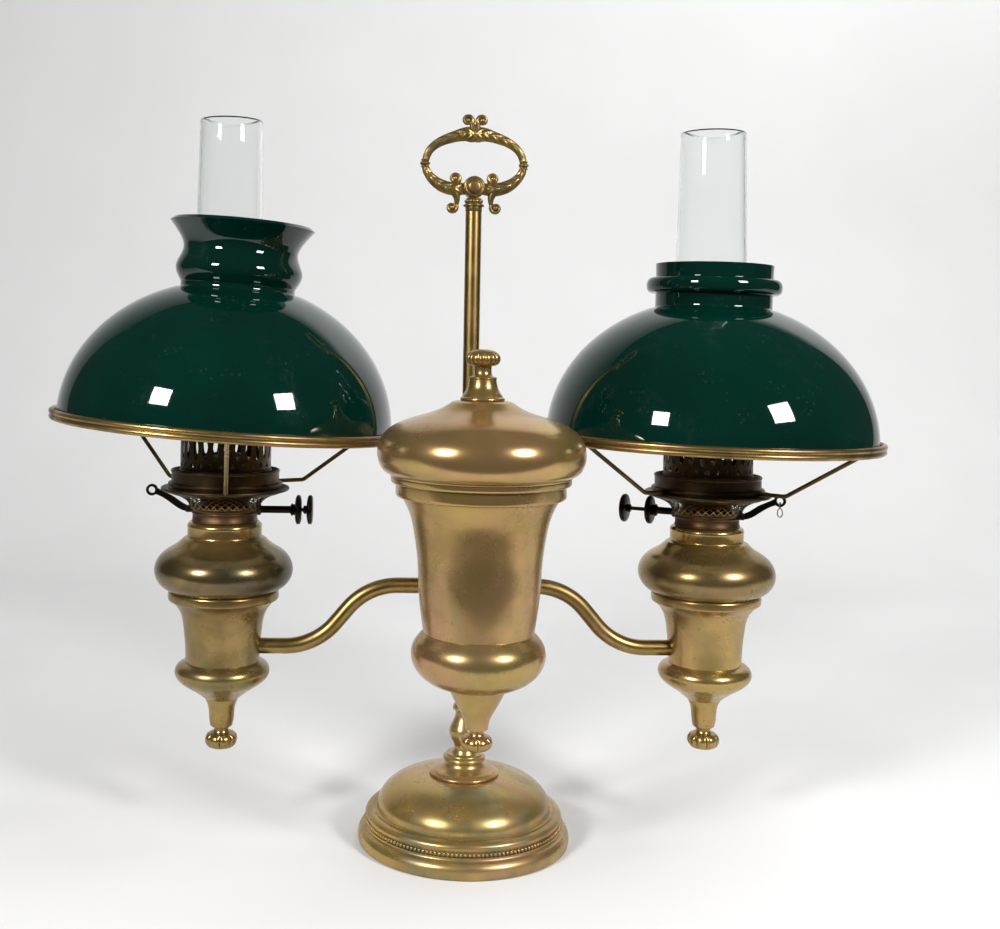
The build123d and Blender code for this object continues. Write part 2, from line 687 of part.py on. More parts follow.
fount_outline = [
    [(fount_seam_radius, 0), (fount_seam_radius + 0.5, 12.4), (fount_seam_radius + 1.8, 25.4),
     (fount_waist_radius, 35.4), (fount_waist_radius + 4.4, 43.2), (fount_collar_radius - 1.2, 47.4)],
    [(fount_collar_radius - 1.2, 47.4), (fount_collar_radius, 48.6)],
    [(fount_collar_radius, 48.6), (fount_collar_radius, 53.0)],
    [(fount_collar_radius, 53.0), (fount_collar_radius - 1.4, 54.4)],
    [(fount_collar_radius - 1.4, 54.4), (fount_bulge_radius - 5.4, 58.4), (fount_bulge_radius - 1.3, 64.0),
     (fount_bulge_radius, 70.6), (fount_bulge_radius - 1.8, 77.4), (fount_bulge_radius - 8.0, 84.4),
     (fount_neck_radius + 8.6, 89.2), (fount_neck_radius + 2.6, 94.0)],
    [(fount_neck_radius + 2.6, 94.0), (fount_neck_radius, 96.4)],
    [(fount_neck_radius, 96.4), (fount_neck_radius, fount_height - 2.4)],
    [(fount_neck_radius, fount_height - 2.4), (fount_neck_radius - 2.0, fount_height)],
]
bowl_outline = [
    [(bowl_tail_radius, -bowl_depth), (bowl_tail_radius + 1.2, -41.6), (bowl_tail_radius + 2.5, -33.4),
     (bowl_tail_radius + 5.0, -28.4)],
    [(bowl_tail_radius + 5.0, -28.4), (bowl_bulge_radius - 13.4, -21.6), (bowl_bulge_radius - 4.4, -15.6),
     (bowl_bulge_radius, -8.2), (bowl_bulge_radius - 1.9, -3.2), (fount_seam_radius, 0)],
]


def make_fount(name, side):
    """The oil vessel at an arm's end: body, bowl and drip knob."""
    seam = Plane(origin=(side["sign"] * burner_span, 0, fount_seam), x_dir=(1, 0, 0), z_dir=(0, 0, 1))
    to_post = 90 + 90 * side["sign"]
    with BuildPart() as fount_body:
        spin_shell(seam, fount_outline, spun_wall)
        rod(seam.offset(fount_height - thread_depth - 1), fount_neck_radius - spun_wall / 2, thread_depth + 1,
            bore=fount_mouth_radius)
        rod(across(seam, fount_feed_rise, to_post), arm_radius + running_fit, fount_bulge_radius, mode=Mode.SUBTRACT)
    keep(fount_body, f"{name}_fount_body")
    with BuildPart() as fount_bowl:
        spin_shell(seam, bowl_outline, spun_wall)
        rod(seam.offset(-bowl_depth), bowl_tail_radius - spun_wall / 2, spun_wall)
    keep(fount_bowl, f"{name}_fount_bowl")
    with BuildPart() as drip_knob:
        flower_knob(seam.offset(-bowl_depth), drip_knob_radius, drip_knob_height + 3, drip_knob_neck_radius)
    keep(drip_knob, f"{name}_drip_knob")


def ring_of_planes(base, rise, reach, count, first=0.0):
    """Sketch planes that face outwards, evenly spaced round an axis at one height and radius."""
    return [across(base, rise, first + 360 / count * k).offset(reach) for k in range(count)]


def make_burner(name, base):
    """Burner on the fount's mouth: collar with lattice basket, shade plate, gallery and wick cone."""
    with BuildPart() as burner_base:
        skirt_radius = fount_mouth_radius - running_fit
        spin_shell(base, [
            [(skirt_radius, -thread_depth), (skirt_radius, 0)],
            [(skirt_radius, 0), (burner_collar_radius, 0)],
            [(burner_collar_radius, 0), (burner_collar_radius, burner_collar_height)],
            [(burner_collar_radius, burner_collar_height), (basket_foot_radius, basket_foot_rise)],
            [(basket_foot_radius, basket_foot_rise), (basket_foot_radius + 3.6, basket_foot_rise + 5.2),
             (basket_top_radius, basket_rise - 1.0)],
            [(basket_top_radius, basket_rise - 1.0), (basket_top_radius, basket_rise)],
        ], burner_wall)
        rod(base.offset(2.0), burner_collar_radius - burner_wall / 2, 1.2)
        for offset in (-wick_spacing, wick_spacing):
            with BuildSketch(base):
                with Locations((0, offset)):
                    SlotOverall(wick_width + 2 * wick_gap + 2 * wick_tube_wall + 2 * running_fit,
                                wick_thickness + 2 * wick_gap + 2 * wick_tube_wall + 2 * running_fit)
            extrude(amount=burner_collar_height, mode=Mode.SUBTRACT)
        for row, rise in enumerate((14.6, 18.2)):
            planes = ring_of_planes(base, rise, basket_foot_radius - 3, lattice_count, row * 180 / lattice_count)
            with BuildSketch(*planes):
                Rectangle(lattice_size, lattice_size, rotation=45)
            extrude(amount=basket_top_radius - basket_foot_radius + 4, mode=Mode.SUBTRACT)
        rod(across(base, winder_rise, 0).offset(burner_collar_radius - 1.6), winder_sleeve_radius + 1.6, 5.0)
        rod(across(base, winder_rise, 0).offset(burner_collar_radius - 5), winder_sleeve_radius + running_fit, 12,
            mode=Mode.SUBTRACT)
        lever_side = across(base, lever_pivot_rise, 180)
        for offset in (-1, 1):
            with BuildSketch(lever_side.offset(burner_collar_radius - burner_wall)):
                with Locations((offset * (lever_thickness / 2 + 1.6), 0)):
                    Rectangle(2.0, 5.0)
            extrude(amount=lever_pivot_reach + 2.4 - burner_collar_radius)
        with BuildSketch(lever_side.offset(burner_collar_radius - 4)):
            with Locations((0, 1.4)):
                Rectangle(lever_thickness + 2 * free_gap, 10.6)
        extrude(amount=10, mode=Mode.SUBTRACT)
        pin_way = Plane(origin=lever_side.origin + lever_side.z_dir * lever_pivot_reach, x_dir=base.z_dir,
                        z_dir=base.y_dir)
        rod(pin_way.offset(-lever_pin_length), lever_pin_radius + running_fit, 2 * lever_pin_length,
            mode=Mode.SUBTRACT)
    keep(burner_base, f"{name}_burner_base")

    with BuildPart() as shade_plate:
        with BuildSketch(half_section(base)):
            with BuildLine():
                Polyline((gallery_radius + running_fit, basket_rise), (basket_top_radius, basket_rise),
                         (plate_radius - 2.6, basket_rise + 3.8), (plate_radius - 2.6, basket_rise + 5.4),
                         (cup_radius, basket_rise + 3.6), (cup_radius, cup_rise - 1.0),
                         (cup_radius - burner_wall, cup_rise), (cup_radius - 2 * burner_wall, cup_rise),
                         (cup_radius - 2 * burner_wall, basket_rise + 3.0),
                         (gallery_radius + running_fit, basket_rise + 1.4), close=True)
            make_face()
            with Locations((plate_radius - 1.6, basket_rise + 4.8)):
                Circle(1.6)
        revolve(axis=Axis(base.origin, base.z_dir))
    keep(shade_plate, f"{name}_shade_plate")

    gallery_base = base.offset(basket_rise + 0.4)
    shelf_rise = chimney_seat - basket_rise - 0.4
    with BuildPart() as gallery:
        rod(gallery_base, gallery_radius, gallery_height, bore=gallery_radius - burner_wall)
        rod(gallery_base.offset(shelf_rise - burner_wall), gallery_radius - burner_wall / 2, burner_wall,
            bore=cone_radius + 1.0)
        with BuildSketch(*[plane.offset(-2) for plane in ring_of_planes(
                gallery_base, gallery_height - 16, gallery_radius, gallery_slots)]):
            SlotOverall(18, 5.2, rotation=90)
        extrude(amount=4, mode=Mode.SUBTRACT)
        with BuildSketch(*[plane.offset(-2) for plane in ring_of_planes(
                gallery_base, gallery_height - 28.6, gallery_radius, 2 * gallery_slots)]):
            Circle(1.5)
        extrude(amount=4, mode=Mode.SUBTRACT)
    keep(gallery, f"{name}_gallery")

    cone_base = base.offset(chimney_seat - burner_wall)
    sphere_radius = (cone_radius ** 2 + cone_height ** 2) / (2 * cone_height)
    with BuildPart() as wick_cone:
        dome = [(sphere_radius * sin(radians(a)), cone_height - sphere_radius * (1 - cos(radians(a))))
                for a in (58, 46, 34, 22, 10)]
        spin_shell(cone_base, [[(cone_radius + 0.9, 0), (cone_radius + 0.9, 1.0)],
                               [(cone_radius + 0.9, 1.0), dome[0]], dome,
                               [dome[-1], (1.0, cone_height)]], burner_wall)
        with BuildSketch(cone_base):
            with Locations((0, -wick_spacing), (0, wick_spacing)):
                SlotOverall(wick_width + 1, cone_slot_width)
        extrude(amount=cone_height + 1, mode=Mode.SUBTRACT)
    keep(wick_cone, f"{name}_wick_cone")


def make_wicks(name, base):
    """Two flat wick tubes, a wick in each, and the extinguisher that slides round them."""
    tube_width = wick_width + 2 * wick_gap + 2 * wick_tube_wall
    tube_depth = wick_thickness + 2 * wick_gap + 2 * wick_tube_wall
    with BuildPart() as wick_tubes:
        with BuildSketch(base.offset(-wick_tube_depth)):
            with Locations((0, -wick_spacing), (0, wick_spacing)):
                SlotOverall(tube_width, tube_depth)
                SlotOverall(tube_width - 2 * wick_tube_wall, tube_depth - 2 * wick_tube_wall, mode=Mode.SUBTRACT)
        extrude(amount=wick_tube_depth + wick_tube_top)
    keep(wick_tubes, f"{name}_wick_tubes")
    for wick_name, offset in (("sleeve_wick", -wick_spacing), ("rod_wick", wick_spacing)):
        with BuildPart() as wick:
            with BuildSketch(base.offset(wick_tube_top - 0.5 - wick_length)):
                with Locations((0, offset)):
                    SlotOverall(wick_width, wick_thickness)
            extrude(amount=wick_length)
        keep(wick, f"{name}_{wick_name}")
    frame_gap = free_gap + burner_wall
    with BuildPart() as extinguisher:
        with BuildSketch(base.offset(extinguisher_rise)):
            RectangleRounded(tube_width + 2 * frame_gap, 2 * wick_spacing + tube_depth + 2 * frame_gap, 3.4)
            RectangleRounded(tube_width + 2 * free_gap, 2 * wick_spacing + tube_depth + 2 * free_gap, 2.6,
                             mode=Mode.SUBTRACT)
        extrude(amount=extinguisher_height)
        leg_foot = lever_pivot_rise + 1.5 + seat_gap
        frame_edge = tube_width / 2 + free_gap
        with BuildSketch(base.offset(extinguisher_rise)):
            with Locations((-(frame_edge + extinguisher_leg_reach + 1) / 2, 0)):
                Rectangle(extinguisher_leg_reach + 1 - frame_edge, 4)
        extrude(amount=1.2)
        with BuildSketch(base.offset(leg_foot)):
            with Locations((-extinguisher_leg_reach, 0)):
                Rectangle(2, 4)
        extrude(amount=extinguisher_rise + 1.2 - leg_foot)
    keep(extinguisher, f"{name}_extinguisher")


def knob(plane, reach, hub_radius_here, bore):
    """A winder's round knob with a hub on its burner side; its middle is at this reach along the shaft."""
    rod(plane.offset(reach - winder_knob_thickness / 2), winder_knob_radius, winder_knob_thickness, bore=bore)
    rod(plane.offset(reach - winder_knob_thickness / 2 - 2.6), hub_radius_here, 2.6, bore=bore)


def make_winders(name, base, side):
    """Two coaxial winders: the outer knob's rod turns inside the inner knob's sleeve."""
    shaft = across(base, winder_rise, 0)
    with BuildPart() as winder_sleeve:
        rod(shaft.offset(9), winder_sleeve_radius, side["sleeve_knob_reach"] - 9,
            bore=winder_rod_radius + running_fit)
        rod(shaft.offset(9), spur_radius, spur_thickness, bore=winder_rod_radius + running_fit)
        knob(shaft, side["sleeve_knob_reach"], winder_sleeve_radius + 1.4, winder_rod_radius + running_fit)
    keep(winder_sleeve, f"{name}_winder_sleeve")
    with BuildPart() as winder_rod:
        rod(shaft.offset(-8), winder_rod_radius, side["rod_knob_reach"] + 8)
        rod(shaft.offset(-6), spur_radius, spur_thickness)
        knob(shaft, side["rod_knob_reach"], winder_rod_radius + 1.6, 0)
    keep(winder_rod, f"{name}_winder_rod")


def make_lever(name, base):
    """The extinguisher lever: a flat bent bar on a cross pin, with an eye at its outer end."""
    reach = lever_pivot_reach
    rise = lever_pivot_rise
    eye = (lever_eye_reach, lever_eye_rise)
    side_view = upright(base, 180)
    with BuildPart() as extinguisher_lever:
        with BuildSketch(side_view):
            with BuildLine():
                Spline((reach - 3, rise + 1.5), (reach + 5.5, rise + 4.6), (reach + 12.5, rise + 9.4),
                       (reach + 19.5, rise + 12.9), (eye[0] - 2.5, eye[1] + 2.4))
                Line((eye[0] - 2.5, eye[1] + 2.4), (eye[0] - 2.2, eye[1] - 3.2))
                Spline((eye[0] - 2.2, eye[1] - 3.2), (reach + 20.5, rise + 8.6), (reach + 13.5, rise + 4.0),
                       (reach + 6.0, rise - 0.8), (reach - 3, rise - 1.5))
                Line((reach - 3, rise - 1.5), (reach - 3, rise + 1.5))
            make_face()
            inner_tip = extinguisher_leg_reach - 1.5
            with Locations(((inner_tip + reach) / 2, rise)):
                Rectangle(reach - inner_tip, 3.0)
            with Locations(eye):
                Circle(lever_eye_radius)
            with Locations((reach, rise)):
                Circle(2.6)
            with Locations(eye):
                Circle(lever_eye_bore, mode=Mode.SUBTRACT)
        extrude(amount=lever_thickness / 2, both=True)
        pin = Plane(origin=side_view.origin + side_view.x_dir * reach + side_view.y_dir * rise,
                    x_dir=side_view.x_dir, z_dir=side_view.z_dir)
        rod(pin.offset(-lever_pin_length / 2), lever_pin_radius, lever_pin_length)
    keep(extinguisher_lever, f"{name}_extinguisher_lever")
    return Plane(origin=side_view.origin + side_view.x_dir * eye[0] + side_view.y_dir * eye[1],
                 x_dir=side_view.x_dir, z_dir=side_view.z_dir)


def make_chain_link(eye_plane):
    """The small wire link that hangs in the right lever's eye: a ring round the eye's rim, and a loop below."""
    rim_middle = (lever_eye_radius + lever_eye_bore) / 2
    ring_centre = eye_plane.origin - eye_plane.y_dir * rim_middle
    with BuildPart() as chain_link:
        with BuildSketch(Plane(origin=ring_centre, x_dir=eye_plane.y_dir, z_dir=eye_plane.z_dir)):
            with Locations((-link_ring_radius, 0)):
                Circle(link_wire_radius)
        revolve(axis=Axis(ring_centre, eye_plane.x_dir))
        loop_centre = ring_centre - eye_plane.y_dir * (link_ring_radius + link_loop_length / 2)
        with BuildSketch(Plane(origin=loop_centre, x_dir=eye_plane.x_dir, z_dir=eye_plane.z_dir)):
            Ellipse(link_loop_length / 3.4 + link_wire_radius, link_loop_length / 2 + link_wire_radius)
            Ellipse(link_loop_length / 3.4 - link_wire_radius, link_loop_length / 2 - link_wire_radius,
                    mode=Mode.SUBTRACT)
        extrude(amount=link_wire_radius * 0.8, both=True)
    keep(chain_link, "right_chain_link")


def make_shade(name, base, side):
    """Shade ring on three bent arms, glass shade that rests on it, and chimney that stands in the gallery."""
    tilt = radians(side["ring_tilt"])
    centre = base.origin + base.z_dir * side["ring_rise"]
    ring = Plane(origin=centre, x_dir=(cos(tilt), 0, -sin(tilt)), z_dir=(sin(tilt), 0, cos(tilt)))
    lip_radius = shade_radius + shade_gap + ring_bead_radius
    hub_rise = basket_rise + 7.0
    with BuildPart() as shade_ring:
        with BuildSketch(half_section(ring)):
            with Locations(((ring_seat_inner_radius + lip_radius) / 2, -ring_seat_thickness / 2)):
                Rectangle(lip_radius - ring_seat_inner_radius, ring_seat_thickness)
            with Locations((lip_radius, ring_bead_radius - 0.3), (lip_radius - 0.4, -ring_seat_thickness - 0.6)):
                Circle(ring_bead_radius)
        revolve(axis=Axis(ring.origin, ring.z_dir))
        rod(base.offset(hub_rise), ring_hub_radius, ring_hub_height, bore=cup_radius + running_fit)
        for angle in side["ring_arm_angles"]:
            outwards = Vector(cos(radians(angle)), sin(radians(angle)), 0)
            end_reach = ring_seat_inner_radius + 3
            start = base.origin + base.z_dir * (hub_rise + ring_hub_height / 2) + outwards * (cup_radius + 1.6)
            elbow = start + outwards * (ring_elbow_radius - cup_radius - 1.6)
            end = centre + outwards * end_reach
            end -= base.z_dir * (end_reach * cos(radians(angle)) * tan(tilt) + ring_seat_thickness + 0.8)
            with BuildLine():
                FilletPolyline(start, elbow, end, radius=6)
            with BuildSketch(Plane(origin=start, z_dir=outwards)):
                Circle(ring_arm_radius)
            sweep()
        rod(base.offset(hub_rise - 1), cup_radius + running_fit, ring_hub_height + 2, mode=Mode.SUBTRACT)
    keep(shade_ring, f"{name}_shade_ring")

    foot_angle = degrees(atan2(neck_foot_rise / shade_rise, sqrt(1 - (neck_foot_rise / shade_rise) ** 2)))
    dome = [(shade_radius * cos(radians(foot_angle * k / 7)), shade_rise * sin(radians(foot_angle * k / 7)))
            for k in range(8)]
    neck = [[(r, neck_foot_rise + z) for r, z in points] for points in side["neck_outline"]]
    with BuildPart() as shade:
        spin_shell(ring.offset(seat_gap), [dome, [dome[-1], neck[0][0]], *neck], shade_wall)
    keep(shade, f"{name}_shade")

    chimney_foot = base.offset(chimney_seat + seat_gap)
    waist = side["chimney_waist_radius"]
    with BuildPart() as chimney:
        spin_shell(chimney_foot, [
            [(chimney_base_radius, 0), (chimney_base_radius, chimney_base_height)],
            [(chimney_base_radius, chimney_base_height), (chimney_base_radius - 1.2, 0.13 * chimney_length),
             (waist + 2.6, 0.34 * chimney_length), (waist, 0.63 * chimney_length),
             (side["chimney_top_radius"], chimney_length)],
        ], chimney_wall)
    keep(chimney, f"{name}_chimney")


for name, side in sides.items():
    axis_x = side["sign"] * burner_span
    turned = radians(side["winder_angle"])
    burner_plane = Plane(origin=(axis_x, 0, fount_top), x_dir=(cos(turned), sin(turned), 0), z_dir=(0, 0, 1))
    make_fount(name, side)
    make_burner(name, burner_plane)
    make_wicks(name, burner_plane)
    make_winders(name, burner_plane, side)
    eye_plane = make_lever(name, burner_plane)
    if name == "right":
        make_chain_link(eye_plane)
    make_shade(name, burner_plane, side)
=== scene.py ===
import json
from math import pi, radians

import bmesh
import bpy
import numpy as np
from bpy.props import FloatProperty, FloatVectorProperty, IntProperty, PointerProperty
from bpy.types import Operator, Panel, PropertyGroup
from mathutils import Matrix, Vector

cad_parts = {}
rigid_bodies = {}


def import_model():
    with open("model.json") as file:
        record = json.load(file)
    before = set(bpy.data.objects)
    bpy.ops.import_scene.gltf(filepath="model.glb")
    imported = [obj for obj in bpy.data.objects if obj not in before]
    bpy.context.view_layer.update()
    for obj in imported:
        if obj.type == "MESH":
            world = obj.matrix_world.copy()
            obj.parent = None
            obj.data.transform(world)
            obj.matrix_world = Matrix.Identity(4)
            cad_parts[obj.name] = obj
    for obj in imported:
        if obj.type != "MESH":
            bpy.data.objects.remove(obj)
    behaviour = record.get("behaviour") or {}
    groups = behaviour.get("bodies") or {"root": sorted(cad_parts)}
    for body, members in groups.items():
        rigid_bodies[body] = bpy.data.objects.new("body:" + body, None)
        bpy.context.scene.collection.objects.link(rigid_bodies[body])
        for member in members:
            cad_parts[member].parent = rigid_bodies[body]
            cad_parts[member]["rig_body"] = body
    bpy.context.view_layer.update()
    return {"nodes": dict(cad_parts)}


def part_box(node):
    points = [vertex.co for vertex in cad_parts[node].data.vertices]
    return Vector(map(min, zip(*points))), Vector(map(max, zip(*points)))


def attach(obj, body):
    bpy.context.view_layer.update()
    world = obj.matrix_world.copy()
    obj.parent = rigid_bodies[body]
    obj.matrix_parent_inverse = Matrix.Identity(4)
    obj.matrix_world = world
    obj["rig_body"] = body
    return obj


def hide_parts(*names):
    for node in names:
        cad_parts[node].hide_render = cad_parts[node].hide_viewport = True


bl_info = {
    "name": "Double student lamp",
    "version": (1, 0, 0),
    "blender": (4, 5, 0),
    "location": "View3D > Sidebar > Lamp",
    "description": "Finishes and detailed pieces of a brass double student lamp",
    "category": "Object",
}

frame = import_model()

# Places, in millimetres: the axes of post, tank and burners, and the heights that pieces share
MM = 0.001
BURNER_SPAN = 188.0
AXES = {"post": (0.0, 0.0), "tank": (0.0, -94.0), "left": (-BURNER_SPAN, 0.0), "right": (BURNER_SPAN, 0.0)}
BASE_TOP = 50.6
STEM_FOOT = 66.6
POST_FOOT = 106.6
POST_TOP = 492.6
HUB_HEIGHT = 505.5
ARM_HEIGHT = 195.8
ARM_DROP = 47.3
FOUNT_SEAM = 137.6
FOUNT_TOP = 244.2
TANK_SEAM = 181.8
LID_SEAT = 290.4
LID_HEIGHT = 53.9
GALLERY_FOOT = 21.4
CHIMNEY_SEAT = 39.0
SHADE_GAP = 0.1

# What differs between the two sides. Angles are in degrees, 0 towards +X.
SIDES = {
    "left": {
        "winders": 0.0, "knobs": (56.3, 65.3), "ring_arms": (-84.0, 28.0, 138.0), "ring_rise": 75.1, "tilt": 3.8,
        "neck": [[(43.8, 4.5), (46.5, 9.0), (48.5, 15.5), (46.5, 22.5), (43.8, 31.4), (47.0, 39.5), (55.4, 50.4)]],
        "chimney": (25.8, 23.9), "sign": -1,
    },
    "right": {
        "winders": 150.0, "knobs": (46.0, 67.0), "ring_arms": (-46.0, 82.0, 210.0), "ring_rise": 68.0, "tilt": 1.1,
        "neck": [[(45.0, 4.0), (45.0, 11.0)], [(45.0, 11.0), (50.8, 13.0), (52.1, 17.8), (50.8, 22.2), (45.0, 24.4)],
                 [(45.0, 24.4), (45.4, 34.6)]],
        "chimney": (27.4, 25.2), "sign": 1,
    },
}


# ---- Sizes, finishes and studio that a user can change

class LampSizes(PropertyGroup):
    beads: IntProperty(name="Base beads", description="Beads round the base's step", default=150, min=24)
    ribbons: IntProperty(name="Basket ribbons", description="Ribbons of the burner basket in each direction",
                         default=30, min=8)
    slots: IntProperty(name="Gallery slots", description="Tall slots round each chimney gallery", default=26, min=6)
    petals: IntProperty(name="Knob petals", description="Petals round each drip knob", default=8, min=3)
    ribs: IntProperty(name="Finial ribs", description="Ribs round the lid's knob", default=16, min=4)
    dents: FloatProperty(name="Unevenness", description="Waviness of the spun brass as a share of its radius",
                         default=0.0010, min=0.0, precision=4)


class LampFinish(PropertyGroup):
    brass: FloatVectorProperty(name="Brass", description="Aged brass where it is cleanest", subtype="COLOR",
                               default=(0.47, 0.325, 0.105), min=0.0, max=1.0)
    brown: FloatVectorProperty(name="Brown tarnish", description="Brown patches on the brass", subtype="COLOR",
                               default=(0.21, 0.13, 0.052), min=0.0, max=1.0)
    green: FloatVectorProperty(name="Green tarnish", description="Green and blue-green patches", subtype="COLOR",
                               default=(0.17, 0.19, 0.085), min=0.0, max=1.0)
    pink: FloatVectorProperty(name="Pink bloom", description="Reddish bloom on the brass", subtype="COLOR",
                              default=(0.50, 0.27, 0.15), min=0.0, max=1.0)
    burner: FloatVectorProperty(name="Burner brown", description="Oxidised brass of the burners", subtype="COLOR",
                                default=(0.085, 0.058, 0.030), min=0.0, max=1.0)
    shade: FloatVectorProperty(name="Shade green", description="Outer layer of the glass shades", subtype="COLOR",
                               default=(0.0004, 0.0185, 0.0125), min=0.0, max=1.0)
    lining: FloatVectorProperty(name="Shade lining", description="White inner layer of the shades", subtype="COLOR",
                                default=(0.80, 0.80, 0.76), min=0.0, max=1.0)
    tarnish: FloatProperty(name="Tarnish", description="How much of the brass the patches cover", default=1.0,
                           min=0.0, max=2.0)


class StudioSettings(PropertyGroup):
    place: FloatVectorProperty(name="Camera place", description="Where the camera stands", subtype="TRANSLATION",
                               unit="LENGTH", default=(-0.0889, -0.9726, 0.3841))
    turn: FloatProperty(name="Camera turn", description="Turn of the camera about the upright", subtype="ANGLE",
                        default=radians(-2.88))
    roll: FloatProperty(name="Camera roll", description="Roll of the camera about its own line of sight",
                        subtype="ANGLE", default=radians(1.0))
    lens: FloatProperty(name="Focal length", description="Focal length in millimetres", default=45.17, min=1.0)
    shift: FloatVectorProperty(name="Lens shift", description="Sideways and upward shift", size=2,
                               default=(0.08, -0.1217))
    backdrop: FloatVectorProperty(name="Backdrop", description="Pale paper of floor and backdrop", subtype="COLOR",
                                  default=(0.76, 0.76, 0.76), min=0.0, max=1.0)
    key: FloatProperty(name="Key light", description="Power of the large soft light", default=17.5, min=0.0)
    boxes: FloatProperty(name="Small soft boxes", description="Power of the two soft boxes that the glass mirrors",
                         default=26.0, min=0.0)


# ---- Outlines and surfaces, in millimetres

def through(points, steps=7):
    """A smooth curve through the points: a natural cubic spline in the distance run along the chords."""
    p = np.asarray(points, float)
    if len(p) == 2:
        return p
    h = np.linalg.norm(np.diff(p, axis=0), axis=1)
    n = len(p)
    lhs = np.eye(n)
    rhs = np.zeros_like(p)
    inner = np.arange(1, n - 1)
    lhs[inner, inner - 1] = h[:-1]
    lhs[inner, inner] = 2 * (h[:-1] + h[1:])
    lhs[inner, inner + 1] = h[1:]
    slope = np.diff(p, axis=0) / h[:, None]
    rhs[1:-1] = 6 * np.diff(slope, axis=0)
    bend = np.linalg.solve(lhs, rhs)
    t = np.linspace(0, 1, steps, endpoint=False)[None, :, None]
    h = h[:, None, None]
    a, b = p[:-1, None], p[1:, None]
    ba, bb = bend[:-1, None], bend[1:, None]
    curve = a * (1 - t) + b * t + h**2 / 6 * (((1 - t)**3 - (1 - t)) * ba + (t**3 - t) * bb)
    return np.vstack([curve.reshape(-1, p.shape[1]), p[-1]])


def trace(stretches, steps=7):
    """Joined stretches of an outline: two points are a straight line, more are one smooth curve."""
    parts = [through(points, steps) for points in stretches]
    return np.vstack([parts[0]] + [part[1:] for part in parts[1:]])


def closed(profile):
    """The outline led to the axis at both ends."""
    return np.vstack([(0, profile[0, 1]), profile, (0, profile[-1, 1])])


def thick(profile, wall):
    """Outer outline, then the same outline moved inwards by the wall and run back."""
    run = np.gradient(profile, axis=0)
    inward = np.stack([-run[:, 1], run[:, 0]], 1)
    inward /= np.linalg.norm(inward, axis=1, keepdims=True)
    inner = profile + wall * inward
    return np.vstack([profile, inner[::-1]])


def lathe(profile, segments=160, wave=None):
    """A turned surface: the outline's point (r, z) at the angle a stands at (r cos a, r sin a, z).
    wave(a, z) is a factor on r, for ribs, petals and unevenness."""
    a = (np.arange(segments) * 2 * pi / segments)[:, None]
    r, z = profile[None, :, 0], profile[None, :, 1]
    r = r * np.ones_like(a)
    if wave is not None:
        r = r * wave(a, z)
    return np.stack([r * np.cos(a), r * np.sin(a), z + 0 * r], -1)


def uneven(seed, share):
    """A factor on the radius that wavers slowly round and along a spun piece."""
    p = np.random.default_rng(seed).uniform(0, 2 * pi, 6)

    def wave(a, z):
        slow = np.sin(2 * a + p[0] + z / 37) + 0.7 * np.sin(3 * a + p[1] - z / 23)
        quick = 0.35 * np.sin(7 * a + p[2] + z / 9) * np.sin(z / 7 + p[3]) + 0.3 * np.sin(11 * a + p[4] - z / 15)
        return 1 + share * (slow + quick)
    return wave


def tube(path, girth, normal, sides=16, depth=1.0, relief=None):
    """A section carried along a flat path: at the path's point p with the run t, the section's angle b gives
    p + girth / 2 (n cos b + depth m sin b), where m is the path plane's normal and n = m x t."""
    p = np.asarray(path, float)
    t = np.gradient(p, axis=0)
    t /= np.linalg.norm(t, axis=1, keepdims=True)
    m = np.asarray(normal, float)
    n = np.cross(m, t)
    g = np.broadcast_to(np.asarray(girth, float), (len(p),))[:, None] / 2
    b = np.arange(sides) * 2 * pi / sides
    if relief is not None:
        g = g * relief(np.linspace(0, 1, len(p))[:, None], b[None, :])
    g = np.broadcast_to(g, (len(p), sides))[..., None]
    section = n[:, None] * np.cos(b)[None, :, None] + depth * m * np.sin(b)[None, :, None]
    body = p[:, None] + g * section
    ends = [np.repeat(p[k][None, None], sides, 1) for k in (0, -1)]
    return np.concatenate([ends[0], body, ends[1]])


def ball(centre, radius, rows=14, columns=20, squash=(1, 1, 1)):
    """A sphere by its two angles, closed at its poles."""
    v = np.linspace(0, pi, rows)
    profile = np.stack([radius * np.sin(v), -radius * np.cos(v)], 1)
    return lathe(profile, columns) * np.asarray(squash) + np.asarray(centre, float)


def rounded(corners, radius, steps=10):
    """A path of straight runs whose corners are arcs of the given radius."""
    c = np.asarray(corners, float)
    path = [c[:1]]
    for before, corner, after in zip(c[:-2], c[1:-1], c[2:]):
        u = (before - corner) / np.linalg.norm(before - corner)
        v = (after - corner) / np.linalg.norm(after - corner)
        half = np.arccos(np.clip(u @ v, -1, 1)) / 2
        middle = corner + (u + v) / np.linalg.norm(u + v) * radius / np.sin(half)
        start = corner + u * radius / np.tan(half) - middle
        end = corner + v * radius / np.tan(half) - middle
        s = np.linspace(0, 1, steps)[:, None]
        swing = pi - 2 * half
        path.append(middle + (np.sin((1 - s) * swing) * start + np.sin(s * swing) * end) / np.sin(swing))
    path.append(c[-1:])
    return np.vstack(path)


def grid_faces(rows, columns, wrap_rows, wrap_columns):
    """Quads between the neighbouring points of a grid."""
    i, j = np.meshgrid(np.arange(rows - (not wrap_rows)), np.arange(columns - (not wrap_columns)), indexing="ij")
    i2, j2 = (i + 1) % rows, (j + 1) % columns
    return np.stack([i * columns + j, i2 * columns + j, i2 * columns + j2, i * columns + j2], -1).reshape(-1, 4)


def placed(x=0.0, y=0.0, z=0.0, turn=0.0, tilt=0.0):
    """A place: turned about the upright, tilted about the new depth axis, then moved. Angles in degrees."""
    return np.array(Matrix.Translation((x, y, z)) @ Matrix.Rotation(radians(turn), 4, "Z")
                    @ Matrix.Rotation(radians(tilt), 4, "Y"))


